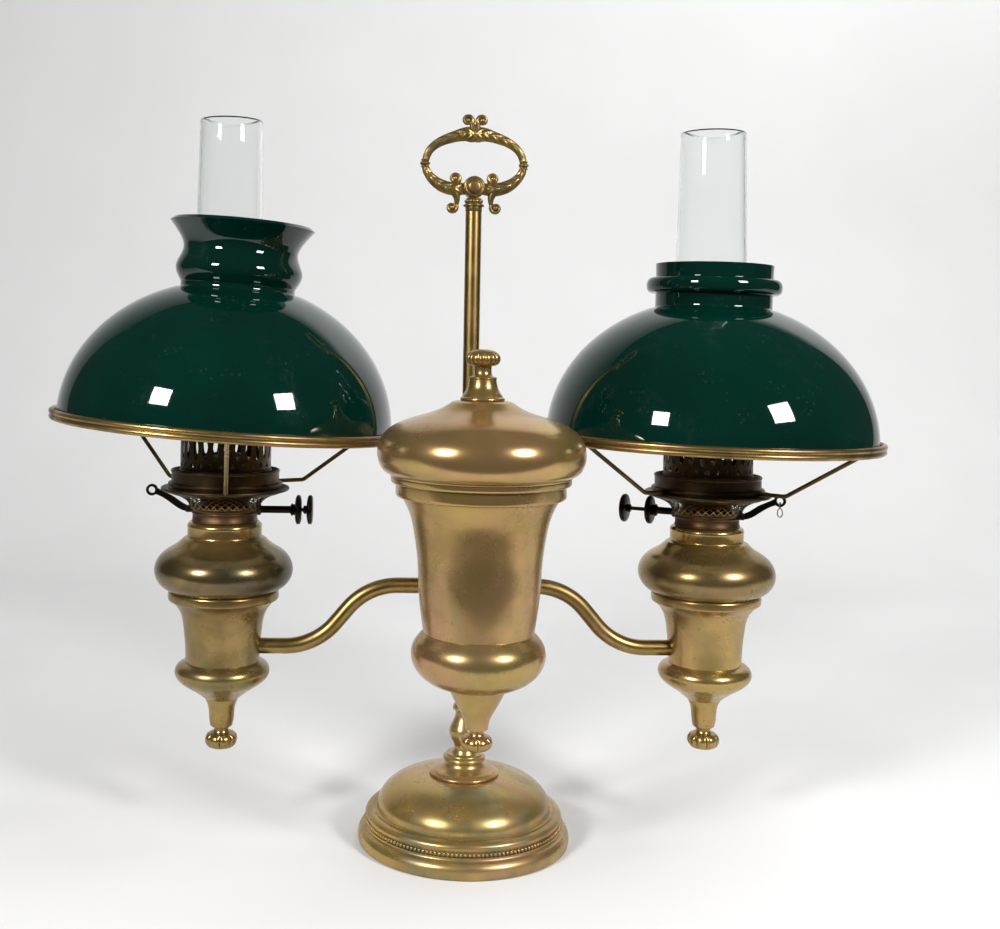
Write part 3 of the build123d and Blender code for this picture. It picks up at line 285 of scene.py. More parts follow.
class Shape:
    """Patches of surface that become one mesh."""

    def __init__(self, place=None):
        self.place = np.eye(4) if place is None else place
        self.points, self.faces, self.finishes, self.count = [], [], [], 0

    def add(self, grid, wrap=(True, False), place=None, finish=0):
        """Takes a grid of points with its quads. wrap says whether rows and columns run round."""
        rows, columns = grid.shape[:2]
        here = self.place if place is None else self.place @ place
        self.points.append(grid.reshape(-1, 3) @ here[:3, :3].T + here[:3, 3])
        faces = grid_faces(rows, columns, *wrap) + self.count
        self.faces.append(faces)
        self.finishes.append(np.full(len(faces), finish) if np.isscalar(finish) else np.asarray(finish))
        self.count += rows * columns
        return self

    def make(self, name, slot, nodes, extra=(), crease=38.0, merge=0.002):
        """The mesh object, with doubles merged and faces outward, riding where the replaced nodes ride."""
        mesh = bpy.data.meshes.new(name)
        mesh.from_pydata((np.vstack(self.points) * MM).tolist(), [], np.vstack(self.faces).tolist())
        mesh.polygons.foreach_set("material_index", np.concatenate(self.finishes).astype(np.int32))
        edit = bmesh.new()
        edit.from_mesh(mesh)
        bmesh.ops.remove_doubles(edit, verts=edit.verts, dist=merge * MM)
        bmesh.ops.dissolve_degenerate(edit, edges=edit.edges, dist=1e-8)
        bmesh.ops.recalc_face_normals(edit, faces=edit.faces)
        edit.to_mesh(mesh)
        edit.free()
        mesh.shade_smooth()
        mesh.set_sharp_from_angle(angle=radians(crease))
        for material in (slot, *extra):
            mesh.materials.append(finish(material))
        piece = bpy.data.objects.new(name, mesh)
        bpy.context.scene.collection.objects.link(piece)
        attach(piece, frame["nodes"][nodes[0]]["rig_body"])
        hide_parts(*nodes)
        return piece


def spin(name, node, slot, axis, height, profile, segments=160, wave=None, crease=38.0):
    """One turned piece that stands for a node."""
    x, y = AXES[axis]
    shape = Shape(placed(x, y, height))
    loop = not (profile[0, 0] == 0 and profile[-1, 0] == 0)
    shape.add(lathe(profile, segments, wave), (True, loop))
    return shape.make(name, slot, [node], crease=crease)


# ---- Node groups and materials

def node(tree, kind, inputs=None, **settings):
    """A new node with its settings and inputs: a socket is linked, and anything else is a value."""
    made = tree.nodes.new(kind)
    for key, value in settings.items():
        setattr(made, key, value)
    for key, value in (inputs or {}).items():
        if isinstance(value, bpy.types.NodeSocket):
            tree.links.new(value, made.inputs[key])
        else:
            made.inputs[key].default_value = value
    return made


def new_group(name, inputs, outputs):
    """An empty node group with named sockets, and its input and output nodes."""
    tree = bpy.data.node_groups.new(name, "ShaderNodeTree")
    for label, kind, value in inputs:
        socket = tree.interface.new_socket(name=label, in_out="INPUT", socket_type=kind)
        if value is not None:
            socket.default_value = value
    for label, kind in outputs:
        tree.interface.new_socket(name=label, in_out="OUTPUT", socket_type=kind)
    return tree, tree.nodes.new("NodeGroupInput"), tree.nodes.new("NodeGroupOutput")


def noise(tree, vector, scale, detail=4.0, roughness=0.55, distortion=0.0):
    return node(tree, "ShaderNodeTexNoise", {"Vector": vector, "Scale": scale, "Detail": detail,
                                             "Roughness": roughness, "Distortion": distortion}).outputs["Fac"]


def band(tree, value, low, high, to_low=0.0, to_high=1.0):
    """A smooth step of a value between low and high."""
    return node(tree, "ShaderNodeMapRange", {"Value": value, "From Min": low, "From Max": high,
                                             "To Min": to_low, "To Max": to_high},
                interpolation_type="SMOOTHSTEP").outputs["Result"]


def times(tree, a, b, operation="MULTIPLY"):
    return node(tree, "ShaderNodeMath", {0: a, 1: b}, operation=operation).outputs[0]


def blend(tree, share, a, b):
    """Colour a where the share is 0 and b where it is 1."""
    mix = node(tree, "ShaderNodeMix", data_type="RGBA")
    for socket, value in ((mix.inputs[0], share), (mix.inputs[6], a), (mix.inputs[7], b)):
        if isinstance(value, bpy.types.NodeSocket):
            tree.links.new(value, socket)
        elif socket == mix.inputs[0]:
            socket.default_value = value
        else:
            socket.default_value = (*value[:3], 1.0)
    return mix.outputs[2]


def build_groups():
    """Tarnish patches, turning marks, fine scratches and specks, shared by the metals and the glass."""
    tree, inside, out = new_group("Tarnish", [("Vector", "NodeSocketVector", None), ("Size", "NodeSocketFloat", 1.0),
                                              ("Cover", "NodeSocketFloat", 1.0)],
                                  [("Brown", "NodeSocketFloat"), ("Green", "NodeSocketFloat"),
                                   ("Bloom", "NodeSocketFloat"), ("Mottle", "NodeSocketFloat")])
    vector = inside.outputs["Vector"]
    sized = node(tree, "ShaderNodeVectorMath", {0: vector, "Scale": inside.outputs["Size"]},
                 operation="SCALE").outputs[0]
    for label, scale, offset, low, high in (("Brown", 16.0, 0.0, 0.36, 0.74), ("Green", 21.0, 3.7, 0.44, 0.74),
                                            ("Bloom", 26.0, 8.1, 0.42, 0.72)):
        moved = node(tree, "ShaderNodeVectorMath", {0: sized, 1: (offset, offset * 0.6, -offset)},
                     operation="ADD").outputs[0]
        mask = band(tree, noise(tree, moved, scale, 4.0, 0.5, 0.9), low, high)
        tree.links.new(times(tree, mask, inside.outputs["Cover"]), out.inputs[label])
    tree.links.new(noise(tree, sized, 140.0, 8.0, 0.7), out.inputs["Mottle"])

    tree, inside, out = new_group("Turning marks", [("Vector", "NodeSocketVector", None)],
                                  [("Height", "NodeSocketFloat")])
    parts = node(tree, "ShaderNodeSeparateXYZ", {0: inside.outputs["Vector"]})
    flat = node(tree, "ShaderNodeCombineXYZ", {0: parts.outputs[0], 1: parts.outputs[1]})
    reach = node(tree, "ShaderNodeVectorMath", {0: flat.outputs[0]}, operation="LENGTH").outputs["Value"]
    lines = node(tree, "ShaderNodeCombineXYZ", {0: reach, 1: parts.outputs[2]}).outputs[0]
    tree.links.new(noise(tree, lines, 900.0, 3.0, 0.6), out.inputs["Height"])

    tree, inside, out = new_group("Scratches", [("Vector", "NodeSocketVector", None)], [("Mask", "NodeSocketFloat")])
    total = None
    for turn, scale in ((0.35, (900.0, 40.0, 900.0)), (1.2, (60.0, 800.0, 700.0))):
        turned = node(tree, "ShaderNodeMapping", {"Vector": inside.outputs["Vector"], "Rotation": (turn, turn, turn),
                                                  "Scale": scale}).outputs[0]
        mask = band(tree, noise(tree, turned, 1.0, 2.0, 0.5), 0.66, 0.72)
        total = mask if total is None else times(tree, total, mask, "MAXIMUM")
    tree.links.new(total, out.inputs["Mask"])

    tree, inside, out = new_group("Specks", [("Vector", "NodeSocketVector", None), ("Density", "NodeSocketFloat", 1.0)],
                                  [("Mask", "NodeSocketFloat")])
    cells = node(tree, "ShaderNodeTexVoronoi", {"Vector": inside.outputs["Vector"], "Scale": 260.0})
    spot = band(tree, cells.outputs["Distance"], 0.34, 0.16)
    where = band(tree, noise(tree, inside.outputs["Vector"], 55.0, 3.0), 0.52, 0.66)
    both = times(tree, spot, where)
    tree.links.new(times(tree, both, inside.outputs["Density"]), out.inputs["Mask"])


def use_group(tree, name, **inputs):
    made = tree.nodes.new("ShaderNodeGroup")
    made.node_tree = bpy.data.node_groups[name]
    for key, value in inputs.items():
        if isinstance(value, bpy.types.NodeSocket):
            tree.links.new(value, made.inputs[key])
        else:
            made.inputs[key].default_value = value
    return made.outputs


def finish(name):
    """The material made here for a finish; the solids bring plain ones under the bare names."""
    return bpy.data.materials[f"Finish {name}"]


def new_material(name, centre=(0, 0, 0)):
    """A material with a Principled shader, and coordinates that count from the piece's own centre."""
    material = bpy.data.materials.new(f"Finish {name}")
    material.use_nodes = True
    tree = material.node_tree
    shader = tree.nodes["Principled BSDF"]
    where = node(tree, "ShaderNodeTexCoord").outputs["Object"]
    vector = node(tree, "ShaderNodeMapping", {"Vector": where, "Location": [-c * MM for c in centre]}).outputs[0]
    return tree, shader, vector


def set_bump(tree, shader, height, strength, distance):
    bump = node(tree, "ShaderNodeBump", {"Height": height, "Strength": strength, "Distance": distance * MM})
    tree.links.new(bump.outputs[0], shader.inputs["Normal"])


def brass_material(name, centre, tones, shares, rough, size=1.0, marks=0.10, density=0.5, stain=0.0, bare=1.0):
    """Aged brass: clean tone, brown and green tarnish, pink bloom and dark specks, each by its share. A stain
    darkens the founts' shoulders, where heat and oil reach them. Less bare metal means a duller oxide layer."""
    clean, brown, green, bloom, dark = tones
    tree, shader, vector = new_material(name, centre)
    tarnish = use_group(tree, "Tarnish", Vector=vector, Size=size, Cover=bpy.context.scene.lamp_finish.tarnish)
    scratches = use_group(tree, "Scratches", Vector=vector)["Mask"]
    specks = use_group(tree, "Specks", Vector=vector, Density=density)["Mask"]
    colour = blend(tree, times(tree, tarnish["Brown"], shares[0]), clean, brown)
    colour = blend(tree, times(tree, tarnish["Green"], shares[1]), colour, green)
    colour = blend(tree, times(tree, tarnish["Bloom"], shares[2]), colour, bloom)
    shade = band(tree, tarnish["Mottle"], 0.35, 0.75)
    colour = blend(tree, times(tree, shade, 0.22), colour, brown)
    if stain:
        height = node(tree, "ShaderNodeSeparateXYZ", {0: vector}).outputs[2]
        shoulder = times(tree, band(tree, height, (FOUNT_SEAM + 52.0) * MM, (FOUNT_SEAM + 62.0) * MM),
                         band(tree, height, (FOUNT_SEAM + 92.0) * MM, (FOUNT_SEAM + 80.0) * MM))
        cloud = band(tree, noise(tree, vector, 17.0, 4.0, 0.5, 0.8), 0.34, 0.62, 0.35, 1.0)
        colour = blend(tree, times(tree, times(tree, shoulder, cloud), stain), colour, (0.062, 0.060, 0.046))
    colour = blend(tree, times(tree, scratches, 0.08), colour, [min(1.0, 1.3 * c) for c in clean])
    colour = blend(tree, specks, colour, dark)
    tree.links.new(colour, shader.inputs["Base Color"])
    patches = times(tree, times(tree, tarnish["Brown"], tarnish["Green"], "MAXIMUM"), times(tree, shade, 0.25), "ADD")
    roughness = band(tree, patches, 0.0, 1.25, rough[0], rough[1])
    tree.links.new(times(tree, roughness, times(tree, specks, 0.2), "ADD"), shader.inputs["Roughness"])
    tree.links.new(band(tree, specks, 0.0, 1.0, bare, 0.5), shader.inputs["Metallic"])
    turning = use_group(tree, "Turning marks", Vector=vector)["Height"]
    relief = times(tree, times(tree, turning, times(tree, tarnish["Mottle"], 0.5), "ADD"),
                   times(tree, scratches, -0.2), "ADD")
    set_bump(tree, shader, relief, marks, 0.12)
    return tree, shader


def build_materials():
    """One material for each slot of the record, and the second layer of two-layer pieces."""
    look = bpy.context.scene.lamp_finish
    clean, brown, green, pink, burner = (tuple(c) for c in (look.brass, look.brown, look.green, look.pink,
                                                             look.burner))
    dark = (0.035, 0.026, 0.016)

    def tone(colour, factor):
        return tuple(min(1.0, c * factor) for c in colour)

    post, tank = (*AXES["post"], 0), (*AXES["tank"], 0)
    left, right = (*AXES["left"], 0), (*AXES["right"], 0)
    plain = (clean, brown, green, pink, dark)
    brass_material("base_brass", post, (clean, brown, (0.135, 0.175, 0.105), pink, dark), (0.7, 0.85, 0.6),
                   (0.25, 0.42), 0.85, 0.12, 0.3, bare=0.75)
    brass_material("post_brass", post, (tone(clean, 0.7), brown, tone(green, 0.8), pink, dark), (0.8, 0.3, 0.25),
                   (0.30, 0.44), 0.9, 0.10, 0.4)
    brass_material("handle_brass", post, (tone(clean, 0.75), tone(brown, 0.55), tone(green, 0.5), pink, dark),
                   (0.9, 0.6, 0.2), (0.30, 0.46), 2.4, 0.10, 0.6, bare=0.85)
    brass_material("tank_brass", tank, plain, (0.85, 0.5, 0.75), (0.20, 0.33), 0.55, 0.06, 0.25,
                   bare=0.8)
    brass_material("left_fount_brass", left, (tone(clean, 0.85), tone(brown, 0.55), tone(green, 0.7), pink, dark),
                   (0.9, 0.75, 0.25), (0.22, 0.36), 0.75, 0.06, 0.3, stain=0.75, bare=0.85)
    brass_material("right_fount_brass", right, plain, (0.8, 0.4, 0.4), (0.22, 0.35), 0.65, 0.06, 0.3, stain=0.4,
                   bare=0.85)
    brass_material("burner_brass", left, (burner, tone(burner, 0.4), tone(burner, 0.5), (0.12, 0.062, 0.034), dark),
                   (0.85, 0.4, 0.4), (0.32, 0.52), 1.4, 0.10, 0.5)
    brass_material("collar_brass", left, ((0.135, 0.082, 0.040), (0.07, 0.045, 0.022), (0.075, 0.06, 0.035),
                                          (0.19, 0.085, 0.05), dark), (0.8, 0.5, 0.4), (0.40, 0.55), 1.4, 0.10, 0.4)
    brass_material("dark_brass", left, ((0.030, 0.024, 0.017), (0.014, 0.011, 0.008), (0.02, 0.018, 0.013),
                                        (0.045, 0.028, 0.018), (0.01, 0.008, 0.006)), (0.7, 0.4, 0.3),
                   (0.30, 0.46), 3.0, 0.14, 0.4)
    brass_material("ring_brass", post, (tone(clean, 0.85), tone(brown, 0.6), (0.04, 0.035, 0.022), tone(pink, 0.75),
                                        dark), (0.85, 0.6, 0.5), (0.26, 0.42), 1.4, 0.06, 0.4, bare=0.9)
    # A darker copy of the ring's brass for the arms under the glass shades: painted shade where the dome shadows them
    brass_material("shaded_arm_brass", post, (tone(clean, 0.24), tone(brown, 0.3), (0.04, 0.036, 0.024), tone(pink, 0.24),
                                       dark), (0.8, 0.5, 0.3), (0.36, 0.5), 2.2, 0.08, 0.5)
    brass_material("lattice_brass", left, (tone(clean, 0.6), brown, tone(green, 0.6), tone(pink, 0.6), dark),
                   (0.7, 0.4, 0.4), (0.3, 0.45), 2.0, 0.08, 0.4)
    brass_material("link_wire", right, ((0.30, 0.24, 0.16), (0.10, 0.08, 0.06), (0.10, 0.10, 0.08),
                                        (0.3, 0.2, 0.13), dark), (0.6, 0.3, 0.2), (0.3, 0.45), 3.0, 0.08, 0.3)
    brass_material("steel", post, ((0.42, 0.42, 0.41), (0.22, 0.19, 0.16), (0.2, 0.2, 0.19), (0.3, 0.24, 0.2),
                                   dark), (0.6, 0.3, 0.3), (0.30, 0.5), 1.5, 0.12, 0.6)
    brass_material("tinplate", tank, ((0.50, 0.50, 0.48), (0.30, 0.27, 0.22), (0.33, 0.34, 0.32), (0.36, 0.30, 0.24),
                                      dark), (0.5, 0.4, 0.25), (0.28, 0.5), 1.0, 0.10, 0.6)

    tree, shader, vector = new_material("base_weight")
    grit = noise(tree, vector, 300.0, 8.0, 0.7)
    tree.links.new(blend(tree, band(tree, grit, 0.4, 0.7), (0.035, 0.033, 0.030), (0.09, 0.05, 0.03)),
                   shader.inputs["Base Color"])
    tree.links.new(band(tree, grit, 0.3, 0.7, 0.6, 0.9), shader.inputs["Roughness"])
    shader.inputs["Metallic"].default_value = 0.4
    set_bump(tree, shader, grit, 0.5, 0.5)

    tree, shader, vector = new_material("felt")
    fibres = noise(tree, vector, 1400.0, 6.0, 0.8, 1.5)
    cloud = noise(tree, vector, 40.0, 4.0)
    colour = blend(tree, fibres, (0.010, 0.035, 0.018), (0.03, 0.075, 0.045))
    tree.links.new(blend(tree, band(tree, cloud, 0.45, 0.7, 0.0, 0.5), colour, (0.035, 0.045, 0.025)),
                   shader.inputs["Base Color"])
    tree.links.new(band(tree, cloud, 0.3, 0.7, 0.85, 1.0), shader.inputs["Roughness"])
    shader.inputs["Sheen Weight"].default_value = 0.4
    set_bump(tree, shader, fibres, 0.6, 0.3)

    tree, shader, vector = new_material("wick")
    weave = node(tree, "ShaderNodeTexWave", {"Vector": vector, "Scale": 420.0, "Distortion": 0.6, "Detail": 1.0},
                 wave_type="BANDS", bands_direction="Z").outputs["Fac"]
    cross = node(tree, "ShaderNodeTexWave", {"Vector": vector, "Scale": 380.0, "Distortion": 0.6, "Detail": 1.0},
                 wave_type="BANDS", bands_direction="X").outputs["Fac"]
    cloth = times(tree, weave, cross)
    height = node(tree, "ShaderNodeSeparateXYZ", {0: vector}).outputs[2]
    stain = noise(tree, vector, 160.0, 4.0)
    edge = times(tree, height, times(tree, stain, 0.006), "ADD")
    burnt = band(tree, edge, (FOUNT_TOP + 41.0) * MM, (FOUNT_TOP + 46.5) * MM)
    colour = blend(tree, cloth, (0.36, 0.31, 0.22), (0.62, 0.57, 0.44))
    tree.links.new(blend(tree, burnt, colour, (0.02, 0.017, 0.014)), shader.inputs["Base Color"])
    tree.links.new(band(tree, cloth, 0.0, 1.0, 0.95, 0.8), shader.inputs["Roughness"])
    set_bump(tree, shader, cloth, 0.7, 0.25)

    tree, shader, vector = new_material("shade_glass")
    cloud = noise(tree, vector, 9.0, 3.0)
    colour = blend(tree, band(tree, cloud, 0.3, 0.7), look.shade, [c * 0.7 for c in look.shade])
    haze = times(tree, band(tree, noise(tree, vector, 22.0, 5.0, 0.6, 0.8), 0.58, 0.74),
                 band(tree, noise(tree, vector, 180.0, 4.0, 0.7), 0.35, 0.65))
    specks = use_group(tree, "Specks", Vector=vector, Density=0.25)["Mask"]
    colour = blend(tree, times(tree, haze, 0.035), colour, (0.25, 0.29, 0.26))
    tree.links.new(blend(tree, times(tree, specks, 0.12), colour, (0.3, 0.32, 0.28)), shader.inputs["Base Color"])
    tree.links.new(band(tree, haze, 0.0, 1.0, 0.035, 0.12), shader.inputs["Roughness"])
    shader.inputs["IOR"].default_value = 1.52
    set_bump(tree, shader, noise(tree, vector, 7.0, 1.0, 0.4), 0.35, 3.0)

    tree, shader, vector = new_material("shade_lining")
    cloud = noise(tree, vector, 14.0, 4.0)
    soot = band(tree, noise(tree, vector, 45.0, 5.0), 0.5, 0.8)
    colour = blend(tree, band(tree, cloud, 0.35, 0.7, 0.0, 0.5), look.lining, (0.70, 0.68, 0.60))
    tree.links.new(blend(tree, times(tree, soot, 0.25), colour, (0.42, 0.38, 0.30)), shader.inputs["Base Color"])
    tree.links.new(band(tree, cloud, 0.3, 0.7, 0.16, 0.3), shader.inputs["Roughness"])
    set_bump(tree, shader, cloud, 0.2, 2.0)

    tree, shader, vector = new_material("chimney_glass")
    shader.inputs["Base Color"].default_value = (0.97, 0.985, 0.98, 1.0)
    shader.inputs["Transmission Weight"].default_value = 1.0
    shader.inputs["IOR"].default_value = 1.3
    film = noise(tree, vector, 60.0, 5.0, 0.6)
    tree.links.new(band(tree, film, 0.5, 0.8, 0.0, 0.06), shader.inputs["Roughness"])
    set_bump(tree, shader, noise(tree, vector, 12.0, 1.0, 0.3), 0.15, 1.0)


# ---- Pieces

def build_base():
    """Turned base, its ring of beads, collar, stem and post."""
    sizes = bpy.context.scene.lamp_sizes
    wave = uneven(3, sizes.dents)
    dome = [(27.0 + 39.7 * np.cos(a), 26.2 + 24.4 * np.sin(a)) for a in np.radians(np.linspace(0, 90, 12))]
    outline = trace([
        [(79.6, 0.0), (80.9, 0.9), (81.5, 3.2), (81.4, 6.6), (80.4, 9.4), (78.6, 11.6)],
        [(78.6, 11.6), (77.2, 12.2), (76.2, 13.2), (75.9, 14.6)],
        [(75.9, 14.6), (74.4, 15.0)],
        [(74.4, 15.0), (74.4, 18.2)],
        [(74.4, 18.2), (75.2, 18.6)],
        [(75.2, 18.6), (75.8, 20.4), (75.2, 22.6), (73.2, 24.2), (70.4, 24.8)],
        [(70.4, 24.8), (68.4, 24.6), (67.0, 25.4)],
        dome,
        [dome[-1], (4.4, BASE_TOP)],
    ])
    spin("Base.shell", "base_shell", "base_brass", "post", 0.0, thick(outline, 1.1), 256, wave)
    beads = Shape()
    bead = ball((0.0, 0.0, 0.0), 1.4, 7, 8, (1.0, 0.95, 1.1)) + (75.2, 0.0, 16.6)
    turns = np.arange(sizes.beads) * 360 / sizes.beads
    for turn in turns:
        beads.add(bead, place=placed(turn=turn))
    beads.make("Base.beads", "base_brass", ["base_beading"], crease=80)
    spin("Base.collar", "base_collar", "base_brass", "post", BASE_TOP, closed(trace([
        [(25.9, 0.0), (26.7, 0.7), (26.6, 1.8), (25.4, 2.6)],
        [(25.4, 2.6), (24.6, 3.3), (19.4, 5.0), (15.6, 7.4), (14.6, 9.6)],
        [(14.6, 9.6), (14.9, 10.6)],
        [(14.9, 10.6), (16.2, 11.4), (16.4, 12.8), (15.4, 14.2)],
        [(15.4, 14.2), (14.0, 14.9), (13.6, 16.0)],
    ])), 128, wave)
    spin("Stem.bulb", "stem", "base_brass", "post", STEM_FOOT, closed(trace([
        [(9.7, 0.0), (8.2, 3.0), (8.0, 5.6), (10.4, 11.0), (12.0, 16.2), (10.0, 22.5), (7.5, 29.0), (7.1, 31.6)],
        [(7.1, 31.6), (7.6, 32.4), (9.2, 33.6), (9.4, 35.2), (8.8, 37.2)],
        [(8.8, 37.2), (8.0, 38.2), (7.6, 40.0)],
    ])), 96, wave)
    rows = np.linspace(POST_FOOT, POST_TOP, 24)
    spin("Post.tube", "post", "post_brass", "post", 0.0,
         closed(np.stack([np.full(24, 6.25), rows], 1)), 64, uneven(5, 0.0006))


def curl(centre, angles, reach, girth):
    """A coil in the handle's plane: its radius and girth shrink evenly with the angle."""
    a = np.radians(np.linspace(*angles, 26))
    r = np.linspace(*reach, 26)
    path = np.stack([centre[0] + r * np.cos(a), np.zeros(26), centre[1] + r * np.sin(a)], 1)
    return path, np.linspace(*girth, 26)


def leaf_relief(count, depth, lean):
    """Leaf barbs on a bar: ridges that lean back from a rib along the bar's outer side."""
    def relief(t, b):
        side = np.abs((b + pi / 2) % (2 * pi) - pi) / pi
        barbs = np.abs(np.sin(pi * (count * t + lean * side)))
        rib = np.exp(-((side - 0.5) / 0.07)**2)
        return 1 - depth + depth * np.maximum(barbs**0.6, rib)
    return relief


def build_handle():
    """Cast loop handle with leaves, side rings and scrolls; its hub, boss and ferrule."""
    shape = Shape(placed(z=HUB_HEIGHT))
    plane = (0.0, -1.0, 0.0)
    hub = closed(trace([[(7.4, -6.0), (8.3, -5.4), (8.5, -4.2)], [(8.5, -4.2), (8.5, 4.2)],
                        [(8.5, 4.2), (8.3, 5.4), (7.4, 6.0)]]))
    shape.add(lathe(hub, 64), place=np.array(Matrix.Rotation(pi / 2, 4, "X")))
    ring = np.array([(6.9 + 0.75 * np.cos(a), 5.9 + 0.75 * np.sin(a)) for a in np.arange(10) * 2 * pi / 10])
    for flip in (pi / 2, -pi / 2):
        shape.add(lathe(ring, 64), (True, True), place=np.array(Matrix.Rotation(flip, 4, "X")))
    for sign in (-1, 1):
        side = np.array((sign, 1.0, 1.0))
        lower = through([(6.0, 0, -0.8), (14.7, 0, -1.4), (25.2, 0, 1.0), (33.0, 0, 6.4), (37.2, 0, 12.4),
                         (38.4, 0, 17.4)], 20) * side
        girth = np.interp(np.linspace(0, 1, len(lower)), (0, 0.2, 0.4, 0.7, 1), (9.0, 10.6, 9.8, 6.8, 5.4))
        shape.add(tube(lower, girth, plane, 32, 0.85, leaf_relief(6, 0.24, 3.0)), (False, True))
        upper = through([(38.4, 0, 18.6), (36.0, 0, 26.6), (26.0, 0, 35.4), (14.6, 0, 39.6), (5.0, 0, 41.4),
                         (-0.9, 0, 40.4)], 22) * side
        girth = np.interp(np.linspace(0, 1, len(upper)), (0, 0.3, 0.6, 0.88, 1), (5.2, 6.6, 9.0, 12.6, 10.8))
        shape.add(tube(upper, girth, plane, 32, 0.8, leaf_relief(7, 0.26, 3.4)), (False, True))
        for rise, girth_here, size in ((-2.6, 6.6, 1.6), (0.0, 8.0, 2.6), (2.6, 6.6, 1.6)):
            collar = trace([[(girth_here / 2 - 0.9, -size / 2), (girth_here / 2, 0), (girth_here / 2 - 0.9, size / 2)]])
            shape.add(lathe(closed(collar), 32), place=placed(sign * 38.5, 0, 18.0 + rise))
        for centre, angles, reach, girth_ends, size in (
            ((5.6, 52.1), (215, -160), (4.0, 2.4), (3.4, 1.8), 2.3),
            ((14.9, 6.9), (250, -140), (3.9, 2.4), (3.4, 1.8), 2.3),
            ((17.0, -15.8), (150, 520), (3.9, 2.4), (3.2, 1.8), 2.3),
        ):
            path, girths = curl(centre, angles, reach, girth_ends)
            shape.add(tube(path * side, girths, plane, 14, 1.3), (False, True))
            shape.add(ball((sign * centre[0], 0, centre[1]), size, 14, 20, (1, 1, 1)))
        tail = through([(15.4, 0, -3.0), (13.4, 0, -8.0), (13.5, 0, -13.6)], 8) * side
        shape.add(tube(tail, np.linspace(7.4, 3.2, len(tail)), plane, 16, 1.1), (False, True))
        root = through([(1.6, 0, 41.0), (1.7, 0, 45.4), (2.4, 0, 49.8)], 8) * side
        shape.add(tube(root, np.linspace(8.4, 3.6, len(root)), plane, 16, 1.1), (False, True))
    shape.make("Handle.loop", "handle_brass", ["handle"], crease=60)

    boss = Shape(placed(z=HUB_HEIGHT))
    button = closed(trace([[(5.2, 5.2), (5.2, 6.6)], [(5.2, 6.6), (4.7, 7.7), (2.9, 8.4), (0.2, 8.6)]]))
    for flip in (pi / 2, -pi / 2):
        boss.add(lathe(button, 48), place=np.array(Matrix.Rotation(flip, 4, "X")))
    boss.make("Handle.boss", "handle_brass", ["handle_boss"], crease=50)
    spin("Handle.ferrule", "handle_ferrule", "handle_brass", "post", POST_TOP - 6.0, closed(trace([
        [(6.3, 0.0), (6.5, 0.3)], [(6.5, 0.3), (6.5, 3.9)], [(6.5, 3.9), (8.1, 4.3), (8.1, 5.1), (6.8, 5.7)],
        [(6.8, 5.7), (6.3, 6.8)], [(6.3, 6.8), (6.9, 7.4), (6.9, 8.8), (6.3, 9.4)], [(6.3, 9.4), (5.8, 10.4)],
    ])), 144, lambda a, z: 1 + 0.04 * np.sin(24 * a) * ((z > 6.9) & (z < 9.3)))


def petal_wave(petals, low, high, depth):
    """Petals: the radius dips between them over the knob's girth, and is plain above and below."""
    def wave(a, z):
        inside = np.clip((z - low) / 1.5, 0, 1) * np.clip((high - z) / 1.5, 0, 1)
        return 1 - depth * inside * (1 - np.abs(np.sin(petals * a / 2)))**2.2
    return wave


def flower(name, node_name, slot, axis, top, radius, height, neck):
    """A hanging drip knob: turned neck and a rim of petals."""
    petals = bpy.context.scene.lamp_sizes.petals
    profile = closed(trace([
        [(radius - 7.0, 0.0), (radius - 3.2, 0.7), (radius - 0.6, 3.4), (radius, 0.36 * height),
         (radius - 1.2, 0.58 * height), (neck + 0.6, 0.72 * height)],
        [(neck + 0.6, 0.72 * height), (neck, 0.84 * height), (neck + 0.3, 0.92 * height)],
        [(neck + 0.3, 0.92 * height), (neck + 1.6, 0.95 * height), (neck + 1.6, height)],
    ], 9))
    spin(name, node_name, slot, axis, top - height, profile, 192, petal_wave(petals, 0.6, 0.66 * height, 0.13), 50)


